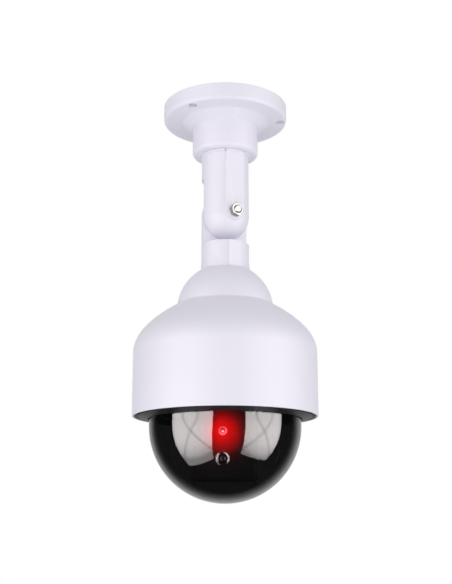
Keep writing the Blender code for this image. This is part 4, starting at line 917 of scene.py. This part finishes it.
def pan_screw(name, length, radius, head_radius, head_height):
    """The mesh of a pan head screw: domed head, cross recess and thread, its bearing face at Z 0."""
    made = turned(name, [
        (0.0, head_height), (0.45 * head_radius, 0.98 * head_height), (0.8 * head_radius, 0.8 * head_height),
        (0.97 * head_radius, 0.45 * head_height), (head_radius, 0.2 * head_height), (head_radius, 0.0, 0.08),
        *ridged(radius, -0.01, 0.9 * radius - length, 0.28 * radius + 0.3, 0.2 * radius),
        (0.55 * radius, 0.5 * radius - length), (0.0, -length),
    ], 32, ring=False)
    arm, half = 0.58 * head_radius, 0.1 * head_radius
    for a, b in ((arm, half), (half, arm)):
        cut(made, block("recess", (-a, -b, 0.38 * head_height), (a, b, 2 * head_height)))
    return settled(made, zinc, 35.0)


def make_screws():
    """Each kind of screw is made once, and its mesh is set in every place of that kind."""
    kinds = {
        "body": pan_screw("body_screw", BODY_SCREW_LENGTH, BODY_SCREW_RADIUS, 2.7, 1.9),
        "long": pan_screw("chassis_screw", CHASSIS_SCREW_LENGTH, BODY_SCREW_RADIUS, 2.7, 1.9),
        "ring": pan_screw("ring_screw", RING_SCREW_LENGTH, SMALL_SCREW_RADIUS, 2.1, SMALL_HEAD_HEIGHT),
        "board": pan_screw("board_screw", BOARD_SCREW_LENGTH, SMALL_SCREW_RADIUS, 2.1, SMALL_HEAD_HEIGHT),
        "swivel": pan_screw("swivel_screw", SWIVEL_SCREW_LENGTH, BOLT_RADIUS, 4.75, 3.2),
    }
    over = SWIVEL_WASHER_THICKNESS + 2 * GAP
    set_screw(kinds["swivel"], "base_swivel_screw", "upper_link", (0, 0, TRUNNION_TOP + over))
    set_screw(kinds["swivel"], "neck_swivel_screw", "lower_link", (0, 0, ROOT_END - over), up=True)
    for i, angle in enumerate(SCREW_ANGLES, 1):
        set_screw(kinds["body"], f"neck_screw_{i}", "housing",
                  round_place(NECK_SCREW_CIRCLE, angle, SHELF_FOOT - GAP), up=True)
        set_screw(kinds["long"], f"chassis_screw_{i}", "housing",
                  round_place(CHASSIS_SCREW_CIRCLE, angle, CHASSIS_FOOT - GAP), up=True)
    for i, side in ((1, -1), (2, 1)):
        set_screw(kinds["body"], f"camera_screw_{i}", "housing",
                  (side * CAMERA_SCREW_REACH, 0, CHASSIS_TOP + GAP))
        _, high, middle = cad_size(f"board_screw_{i}")
        set_screw(kinds["board"], f"board_screw_{i}", "housing",
                  (middle.x, middle.y, high.z - SMALL_HEAD_HEIGHT))
    for i, angle in enumerate(DOME_SCREW_ANGLES, 1):
        set_screw(kinds["ring"], f"dome_screw_{i}", "dome_ring",
                  round_place(DOME_SCREW_CIRCLE, angle, DOME_FLANGE_TOP + GAP))
    for kind in kinds.values():
        bpy.data.objects.remove(kind)


def set_screw(kind, node, body, place, up=False):
    """Up is the way the shank points."""
    mesh = kind.data.copy()
    turn = Matrix.Rotation(180 * degree, 4, "X") if up else Matrix.Identity(4)
    mesh.transform(Matrix.Translation(Vector(place) * mm) @ turn)
    made = add(f"{node}_fine", mesh)
    fitted(made, body, "zinc_steel", node)


def make_swivel_washers():
    base_lap, neck_lap = SWIVEL_WASHER_LAP
    for node, body, radius, top in (
            ("base_swivel_washer", "upper_link", TRUNNION_BORE + base_lap,
             TRUNNION_TOP + GAP + SWIVEL_WASHER_THICKNESS),
            ("neck_swivel_washer", "lower_link", NECK_BORE + neck_lap, ROOT_END - GAP)):
        foot = top - SWIVEL_WASHER_THICKNESS
        bore = BOLT_RADIUS + GAP
        made = turned(f"{node}_fine", [
            (radius, top, 0.3), (radius, foot, 0.3), (bore, foot, 0.15), (bore, top, 0.15)], 96)
        fitted(settled(made, zinc), body, "zinc_steel", node)


# Neck cap and housing ---------------------------------------------------------------

def make_neck_cap():
    skirt = SPIGOT_RADIUS - SPIGOT_WALL
    inner = BALL_RADIUS - BALL_WALL
    bore_angle = math.degrees(math.acos(NECK_BORE / BALL_RADIUS))
    seat_angle = math.degrees(math.asin(NECK_SEAT / BALL_RADIUS))
    tube_angle = math.degrees(math.acos(NECK_SHELF / inner))
    skirt_angle = math.degrees(math.acos(skirt / inner))
    ball = arc((0.0, BALL_CENTRE), BALL_RADIUS, bore_angle, seat_angle, 29)
    cap = turned("neck_ball", [
        (*ball[0], 0.5), *ball[1:],
        (SPIGOT_RADIUS, NECK_SEAT_HEIGHT),
        (SPIGOT_RADIUS, SPIGOT_FOOT, 0.3),
        (skirt, SPIGOT_FOOT, 0.3),
        *arc((0.0, BALL_CENTRE), inner, skirt_angle, tube_angle, 15),
        (NECK_SHELF, TUBE_END, 0.2),
        (NECK_BORE, TUBE_END, 0.2),
    ], 144)
    depth = BODY_SCREW_LENGTH - SHELF_THICKNESS - 2 * GAP + PILOT_SPARE
    for angle in SCREW_ANGLES:
        foot = round_place(NECK_SCREW_CIRCLE, angle, SPIGOT_FOOT)
        join(cap, rod("boss", NECK_BOSS_RADIUS, foot, foot + Vector((0, 0, NECK_BOSS_LENGTH))))
        cut(cap, rod("hole", BODY_SCREW_RADIUS + GAP,
                     foot - Vector((0, 0, GAP)), foot + Vector((0, 0, depth))))
    fitted(settled(cap, white), "housing", "white_abs", "neck_cap")


def bell_radius(height, outer, inner):
    """The bell widens from its top as the square of the height above its foot."""
    return outer - (outer - inner) * ((height - BELL_FOOT) / BELL_HEIGHT)**2


def make_housing():
    outer_top = SEAT_RADIUS + 0.1
    inner_top = outer_top - 1.3 * HOUSING_WALL
    points = 33
    bell = [BELL_TOP - BELL_HEIGHT * i / (points - 1) for i in range(points)]
    inner_drop = 0.9 * HOUSING_WALL
    inside = [(bell_radius(z + inner_drop, HOUSING_INSIDE, inner_top), z)
              for z in reversed(bell) if z < SHELF_FOOT - HOUSING_WALL]
    shelf_edge = bell_radius(SHELF_FOOT + inner_drop, HOUSING_INSIDE, inner_top)
    lip = NECK_SEAT_HEIGHT + LIP_RISE
    outside = [(bell_radius(z, HOUSING_RADIUS, outer_top), z) for z in bell]
    shell = turned("bell_housing", [
        (math.sqrt(BALL_RADIUS**2 - (lip - BALL_CENTRE)**2) + 0.02, lip),
        (SEAT_RADIUS + 0.12, NECK_SEAT_HEIGHT - 0.4, 2.0), *outside[2:],
        (HOUSING_RADIUS, RIM, 0.45),
        (HOUSING_INSIDE, RIM, 0.3),
        (HOUSING_INSIDE, LEDGE_FOOT),
        (LEDGE_RADIUS, LEDGE_FOOT),
        (LEDGE_RADIUS, LEDGE_TOP),
        (HOUSING_INSIDE, LEDGE_TOP),
        (HOUSING_INSIDE, BELL_FOOT - inner_drop),
        *inside,
        (shelf_edge, SHELF_FOOT),
        (SHELF_HOLE, SHELF_FOOT),
        (SHELF_HOLE, SHELF_TOP),
        (SPIGOT_RADIUS + GAP, SHELF_TOP),
        (SPIGOT_RADIUS + GAP, BELL_TOP),
        (SEAT_RADIUS + 0.04, BELL_TOP),
        (SEAT_RADIUS + 0.04, NECK_SEAT_HEIGHT + 0.1),
    ], 180)
    depth = CHASSIS_SCREW_LENGTH - CHASSIS_THICKNESS - 2 * GAP + PILOT_SPARE
    for angle in SCREW_ANGLES:
        foot = round_place(CHASSIS_SCREW_CIRCLE, angle, CHASSIS_TOP + GAP)
        top = foot + Vector((0, 0, CHASSIS_BOSS_LENGTH))
        rib = block("rib", (CHASSIS_SCREW_CIRCLE, -RIB_WIDTH / 2, foot.z + RIB_INSET),
                    (HOUSING_INSIDE + HOUSING_WALL / 2, RIB_WIDTH / 2, top.z - RIB_INSET))
        join(shell, rod("boss", CHASSIS_BOSS_RADIUS, foot, top), turn_z(rib, angle))
        cut(shell,
            rod("shelf_hole", BODY_SCREW_RADIUS + 2 * GAP,
                round_place(NECK_SCREW_CIRCLE, angle, SHELF_FOOT - PAST),
                round_place(NECK_SCREW_CIRCLE, angle, SHELF_TOP + PAST)),
            rod("pilot", BODY_SCREW_RADIUS + GAP, foot - Vector((0, 0, GAP)), foot + Vector((0, 0, depth))))
    for angle in LUG_ANGLES:
        slot = block("slot", (LEDGE_RADIUS - PAST, -SLOT_WIDTH / 2, LEDGE_FOOT - OVERLAP),
                     (HOUSING_INSIDE - 0.1, SLOT_WIDTH / 2, LEDGE_TOP + OVERLAP))
        cut(shell, turn_z(slot, angle + BAYONET_TURN))
    fitted(settled(shell, white), "housing", "white_abs", "housing_shell")


# Retaining ring and dome ---------------------------------------------------------------

def make_ring():
    inner = DOME_RADIUS + RING_LIP
    tube_inner = RING_TUBE - RING_WALL
    ring = turned("bayonet_ring", [
        (RING_TUBE, LUG_TOP, 0.3),
        (RING_TUBE, RIM + RING_EDGE),
        (RING_RADIUS, RIM + RING_EDGE, 0.2),
        (RING_RADIUS, RIM + RING_EDGE - 0.4, 0.15),
        (RING_RADIUS - GROOVE, RIM + RING_EDGE - 0.4),
        (RING_RADIUS - GROOVE - 0.3, RIM + 0.05, 0.4),
        (inner, RING_INNER_FOOT, 0.5),
        (inner, RING_SEAT),
        (tube_inner, RING_SEAT),
        (tube_inner, LUG_TOP, 0.3),
    ], 180)
    for angle in LUG_ANGLES:
        lug = block("lug", (RING_TUBE - RING_WALL / 2, -LUG_WIDTH / 2, LUG_FOOT),
                    (LUG_RADIUS, LUG_WIDTH / 2, LUG_TOP - 0.1))
        join(ring, turn_z(lug, angle))
    for angle in DOME_SCREW_ANGLES:
        cut(ring, rod("pilot", SMALL_SCREW_RADIUS + GAP,
                      round_place(DOME_SCREW_CIRCLE, angle, RING_SEAT - DOME_PILOT_DEPTH),
                      round_place(DOME_SCREW_CIRCLE, angle, RING_SEAT + PAST)))
    fitted(settled(ring, ring_black), "dome_ring", "ring_abs", "retaining_ring")


def make_dome():
    dome = turned("smoked_dome", [
        *arc((0.0, DOME_CENTRE), DOME_INSIDE, -90, 0, 41),
        (DOME_INSIDE, DOME_FLANGE_TOP, 1.0),
        (DOME_RADIUS + DOME_FLANGE, DOME_FLANGE_TOP, 0.3),
        (DOME_RADIUS + DOME_FLANGE, DOME_SEAT, 0.3),
        (DOME_RADIUS, DOME_SEAT, 0.4),
        *arc((0.0, DOME_CENTRE), DOME_RADIUS, 0, -90, 41),
    ], 180, ring=False)
    for angle in DOME_SCREW_ANGLES:
        cut(dome, rod("hole", SMALL_SCREW_RADIUS + GAP,
                      round_place(DOME_SCREW_CIRCLE, angle, DOME_SEAT - PAST),
                      round_place(DOME_SCREW_CIRCLE, angle, DOME_FLANGE_TOP + PAST)))
    fitted(settled(dome, smoked), "dome_ring", "smoked_acrylic", "dome")


# Camera block, lens and lamp -------------------------------------------------------------

def make_camera_block():
    half = CAMERA_WIDTH / 2
    shape = box_shape((-half, -CAMERA_FRONT, CAMERA_FOOT), (half, CAMERA_BACK, CAMERA_TOP))
    for face in [f for f in shape.faces if f.normal.z > 0.5]:
        shape.faces.remove(face)
    corners = [e for e in shape.edges if len(e.link_faces) == 2]
    bmesh.ops.bevel(shape, geom=corners, offset=CAMERA_ROUND, segments=8, affect="EDGES", profile=0.5)
    body = from_shape("camera_block", shape)
    wall = body.modifiers.new("wall", "SOLIDIFY")
    wall.thickness = CAMERA_WALL * mm
    wall.offset = -1.0
    boss_foot = CAMERA_TOP - CAMERA_BOSS_LENGTH
    for side in (-1, 1):
        reach = side * CAMERA_SCREW_REACH
        join(body, rod("boss", CAMERA_BOSS_RADIUS, (reach, 0, boss_foot), (reach, 0, CAMERA_TOP - 0.1)))
        cut(body, rod("pilot", BODY_SCREW_RADIUS + GAP,
                      (reach, 0, boss_foot + OVERLAP), (reach, 0, CAMERA_TOP + PAST)))
    outside, inside = -CAMERA_FRONT - PAST, CAMERA_WALL + PAST - CAMERA_FRONT
    cut(body,
        rod("led_hole", LED_RADIUS + GAP, (0, outside, LED), (0, inside, LED)),
        rod("lens_hole", SLEEVE_RADIUS + GAP, (0, outside, LENS), (0, inside, LENS)))
    fitted(settled(body, block_black, 25.0), "housing", "black_abs", "camera_body")


def make_lens():
    back = -LENS_BARREL
    bezel = turned("lens_ring", [
        (BEZEL_RADIUS, BEZEL_PROUD, 0.6), (BEZEL_RADIUS, GAP, 0.15), (SLEEVE_RADIUS, GAP),
        (SLEEVE_RADIUS, back, 0.2), (BEZEL_BORE, back), (BEZEL_BORE, 0.45), (BEZEL_BORE - 0.2, 0.6),
        (BEZEL_BORE + 0.65, BEZEL_PROUD - 0.25), (BEZEL_BORE + 0.75, BEZEL_PROUD, 0.1),
    ], 96)
    inside = BEZEL_BORE - GAP
    front = turned("lens_front", [
        *arc((0.0, 1.0 - 3.2), 3.2, 90, 48, 17),
        (0.74 * inside, 0.02), (0.86 * inside, 0.02, 0.1), (0.9 * inside, 0.35, 0.1), (inside, 0.35, 0.1),
        (inside, back, 0.2), (0.0, back),
    ], 96, ring=False)
    for made, finish, slot, node in ((bezel, chrome, "chrome_trim", "lens_bezel"),
                                     (front, glass, "lens_glass", "lens_glass")):
        fitted(along_y(settled(made, finish), -CAMERA_FRONT, LENS), "housing", slot, node)


def make_lamp():
    collar = -CAMERA_WALL - GAP
    back = LED_PROUD - LED_LENGTH
    made = turned("red_lamp", [
        *arc((0.0, LED_PROUD - LED_RADIUS), LED_RADIUS, 90, 0, 17),
        (LED_RADIUS, collar), (LED_RADIUS + 0.5, collar, 0.1), (LED_RADIUS + 0.5, back, 0.1), (0.0, back),
    ], 64, ring=False)
    fitted(along_y(settled(made, lamp), -CAMERA_FRONT, LED), "housing", "red_led", "led")


# Batteries and small parts -----------------------------------------------------------------

def make_cells():
    """Two AA cells with crimped ends and an insulating shoulder."""
    body = CELL_LENGTH - CELL_NUB_LENGTH
    for i, side in ((1, -1), (2, 1)):
        middle = cad_size(f"battery_{i}")[2]
        made = turned(f"aa_cell_{i}", [
            (0.0, CELL_NUB_LENGTH), (CELL_NUB_RADIUS, CELL_NUB_LENGTH, 0.4), (CELL_NUB_RADIUS, 0.0, 0.3),
            (CELL_NUB_RADIUS + 1.4, -0.25, 0.2), (CELL_RADIUS - 0.9, 0.0, 0.3), (CELL_RADIUS, -0.6, 0.4),
            (CELL_RADIUS, -1.9), (CELL_RADIUS - 0.2, -2.2), (CELL_RADIUS, -2.5),
            (CELL_RADIUS, 0.6 - body, 0.4), (CELL_RADIUS - 0.8, -body, 0.2), (CELL_RADIUS - 1.4, 0.3 - body),
            (0.0, 0.3 - body),
        ], 64, ring=False)
        shoulder = middle + Vector((side * (CELL_LENGTH / 2 - CELL_NUB_LENGTH), 0.0, 0.0))
        piece = settled(made, cell_wrap)
        turn = Matrix.Rotation(side * 90 * degree, 4, "Y")
        piece.data.transform(Matrix.Translation(shoulder * mm) @ turn)
        fitted(piece, "housing", "cell_wrap", f"battery_{i}")


def make_capacitor():
    """A can with a rounded sleeve and a cross-scored top."""
    low, high, middle = cad_size("timing_capacitor")
    radius = (high.x - low.x) / 2
    foot, top = low.z, high.z
    made = turned("electrolytic_can", [
        (0.0, top - 0.25), (0.72 * radius, top - 0.25), (0.78 * radius, top, 0.2), (radius, top, 0.5),
        (radius, foot + 1.3), (radius - 0.3, foot + 0.9), (radius, foot + 0.5), (radius, foot, 0.2),
        (0.0, foot),
    ], 48, ring=False)
    for a, b in ((0.7 * radius, 0.12), (0.12, 0.7 * radius)):
        cut(made, block("score", (-a, -b, top - 0.5), (a, b, top + 1)))
    piece = settled(made, can_blue)
    piece.data.transform(Matrix.Translation((middle.x * mm, middle.y * mm, 0.0)))
    fitted(piece, "housing", "capacitor_sleeve", "timing_capacitor")


def make_resistor():
    """A dog-bone body, with its bands in the finish."""
    low, high, middle = cad_size("led_resistor")
    radius = (high.z - low.z) / 2
    length = high.x - low.x
    made = turned("banded_resistor", [
        (0.0, length), (0.5 * radius, length, 0.2), (radius, 0.93 * length, 0.3), (radius, 0.8 * length, 0.3),
        (0.82 * radius, 0.72 * length, 0.3), (0.82 * radius, 0.28 * length, 0.3), (radius, 0.2 * length, 0.3),
        (radius, 0.07 * length, 0.3), (0.5 * radius, 0.0, 0.2), (0.0, 0.0),
    ], 40, ring=False)
    piece = settled(made, resistor_tan)
    end = Vector((low.x, middle.y, middle.z)) * mm
    piece.data.transform(Matrix.Translation(end) @ Matrix.Rotation(90 * degree, 4, "Y"))
    fitted(piece, "housing", "resistor_body", "led_resistor")


def dress_cad_nodes():
    """Inner pieces keep their CAD shapes, with softened edges and their own finishes."""
    finishes = {
        "chassis_plate": (black, 0.2), "battery_box": (black, 0.3), "battery_door": (black, 0.3),
        "switch_body": (black, 0.3), "switch_slider": (white, 0.25),
        "contact_link": (nickel, 0.1), "contact_positive": (nickel, 0.1), "contact_negative": (nickel, 0.1),
        "battery_spring_1": (nickel, 0.0), "battery_spring_2": (nickel, 0.0),
        "circuit_board": (laminate, 0.1), "flasher_chip": (chip_black, 0.25),
        "led_wire_red": (red_lead, 0.0), "battery_wire_red": (red_lead, 0.0), "switch_wire": (red_lead, 0.0),
        "led_wire_black": (black_lead, 0.0), "battery_wire_black": (black_lead, 0.0),
    }
    for name, (finish, soften) in finishes.items():
        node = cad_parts[name]
        node.data.materials.clear()
        node.data.materials.append(finish.material)
        if soften:
            weld = node.modifiers.new("weld", "WELD")
            weld.merge_threshold = 1e-6
            softened(node, soften, 40)


# Studio --------------------------------------------------------------------------

# Diffuser cloths as the dome sees them, in metres round their middle: two foot corners, two top ones
LEFT_CLOTH = ((-0.62, -1.25), (0.45, -1.3), (0.7, 0.9), (-0.5, 0.9))
RIGHT_CLOTH = ((-0.5, -1.0), (0.45, -0.85), (0.6, 0.9), (-0.53, 0.9))
CLOTH_GLOW = 8.6
CLOTH_REACH = 0.9
LAMP_HEIGHT = 1.8
FILL_SIZE = 1.6
FILL_REACH = 1.2
FLOOR_HEIGHT = -1.7
FLOOR_RADIUS = 6.0
DARK_THROUGH_DOME = 0.06
VIEW_LENS = 61.64
VIEW_TURN = 3.6                 # degrees to the right of the front
VIEW_RISE = 13.88               # degrees that the camera looks up
VIEW_AWAY = 0.6715
VIEW_ASIDE = 0.00056
VIEW_HEIGHT = -0.3025


def area_light(name, shape, size, height, radiance, area):
    """A soft light that lights surfaces but shows neither itself nor in gloss."""
    data = bpy.data.lights.new(name, "AREA")
    data.shape = shape
    data.size = size
    data.size_y = height
    data.energy = radiance * math.pi * area
    lit = add(name, data)
    lit.visible_camera = False
    lit.visible_glossy = False
    return lit


def make_softbox(name, azimuth, corners, radiance):
    """A diffuser that faces the dome: a cloth that gloss shows, brightest in its middle with faint
    creases from its frame, and an area light that lights the piece."""
    finish = Finish(name, Base_Color=(0.0, 0.0, 0.0), Specular_IOR_Level=0.0, Emission_Strength=CLOTH_GLOW)
    width = corners[2][0] - corners[3][0]
    height = corners[2][1] - corners[0][1]
    x, y, _ = finish.parts()
    u, v = x * (2 / width), (y + 0.15) * (2 / (0.72 * height))
    crease = sum((line.apply("ABSOLUTE").between(0.12, 0.0) for line in (u - v, u + v)), 0.0)
    level = (1.0 - 0.2 * u * u - 0.6 * v * v - 0.26 * crease).apply("MAXIMUM", 0.3)
    finish.glow(level, (1.0, 0.95, 0.95))
    mesh = bpy.data.meshes.new(name)
    mesh.from_pydata([(*corner, 0.0) for corner in corners], [], [(0, 1, 2, 3)])
    mesh.materials.append(finish.material)
    cloth = add(name, mesh)
    cloth.visible_camera = False
    cloth.visible_diffuse = False
    cloth.visible_shadow = False
    lit = area_light(f"{name}_light", "RECTANGLE", width, LAMP_HEIGHT, radiance, width * LAMP_HEIGHT)
    turn = azimuth * degree
    across = Vector((math.cos(turn), math.sin(turn), 0.0))
    away = Vector((math.sin(turn), -math.cos(turn), 0.0))
    facing = Matrix((across, (0.0, 0.0, 1.0), away)).transposed().to_4x4()
    middle = Vector((0.0, 0.0, DOME_CENTRE * mm)) + away * CLOTH_REACH
    cloth.matrix_world = lit.matrix_world = Matrix.Translation(middle) @ facing


def make_fill(radiance):
    """A weak light from below and in front, for the undersides."""
    lit = area_light("fill_light", "DISK", FILL_SIZE, FILL_SIZE, radiance, math.pi * (FILL_SIZE / 2)**2)
    away = Vector((0.05, -0.6, -0.85)).normalized()
    lit.location = Vector((0.0, 0.0, -0.15)) + away * FILL_REACH
    lit.rotation_euler = away.to_track_quat("Z", "Y").to_euler()


def make_floor():
    """A pale disc far below, with a slight unevenness in its paint."""
    finish = Finish("pale_floor", Emission_Color=(0.95, 0.95, 1.0), Emission_Strength=0.25)
    cloud = finish.noise(300.0, 2.0)
    finish.set("Base Color", finish.mix(cloud, (0.93, 0.93, 0.94), (0.96, 0.96, 0.97)))
    finish.set("Roughness", 0.6 + 0.2 * cloud)
    shape = bmesh.new()
    bmesh.ops.create_circle(shape, cap_ends=True, segments=96, radius=FLOOR_RADIUS)
    mesh = bpy.data.meshes.new("studio_floor")
    shape.to_mesh(mesh)
    shape.free()
    mesh.materials.append(finish.material)
    floor = add("studio_floor", mesh)
    floor.location.z = FLOOR_HEIGHT
    floor.visible_glossy = False
    floor.visible_diffuse = False


def make_world():
    """White where the camera looks. Elsewhere a room of soft light that is dimmer overhead and
    behind; gloss shows it as dark but for what lies far behind the object or overhead."""
    world = bpy.data.worlds.new("studio")
    bpy.context.scene.world = world
    world.use_nodes = True
    room = Nodes(world.node_tree)

    def tone(strength):
        return room.node("ShaderNodeBackground", inputs={"Color": (1.0, 1.0, 1.0), "Strength": strength})

    def ray(output):
        return room.node("ShaderNodeLightPath", output=output)

    def mixed(share, first, second):
        return room.node("ShaderNodeMixShader", inputs={0: share, 1: first, 2: second})

    _, back, up = room.parts("Generated")
    soft = back.between(0.0, 0.7, 0.71, 0.54) * up.between(0.7, 0.95, 1.0, 0.6)
    mirrored = back.between(0.56, 1.0, 0.012, 0.6) + up.between(0.35, 0.7, 0.0, 0.9)
    around = mixed(ray("Is Glossy Ray"), tone(soft), tone(mirrored))
    backdrop = mixed(ray("Transparent Depth") > 0.5, tone(1.0), tone(DARK_THROUGH_DOME))
    room.tree.nodes.remove(room.tree.nodes["Background"])
    seen = mixed(ray("Is Camera Ray"), around, backdrop)
    room.feed(room.tree.nodes["World Output"].inputs["Surface"], seen)


def make_camera():
    """Below the ceiling and in front, looking up at the camera housing."""
    data = bpy.data.cameras.new("view")
    data.sensor_width = 36.0
    data.lens = VIEW_LENS
    camera = add("view", data)
    turn = VIEW_TURN * degree
    camera.location = (VIEW_AWAY * math.sin(turn) + VIEW_ASIDE * math.cos(turn),
                       VIEW_ASIDE * math.sin(turn) - VIEW_AWAY * math.cos(turn), VIEW_HEIGHT)
    camera.rotation_euler = ((90 + VIEW_RISE) * degree, 0.0, turn)
    bpy.context.scene.camera = camera


make_flange()
make_upper_arm()
make_lower_arm()
make_pivot()
make_screws()
make_swivel_washers()
make_neck_cap()
make_housing()
make_ring()
make_dome()
make_camera_block()
make_lens()
make_lamp()
make_cells()
make_capacitor()
make_resistor()
dress_cad_nodes()
make_softbox("left_softbox", -48.0, LEFT_CLOTH, 0.38)
make_softbox("right_softbox", 63.0, RIGHT_CLOTH, 0.41)
make_fill(0.5)
make_floor()
make_world()
make_camera()
bpy.context.scene.view_settings.view_transform = "Standard"
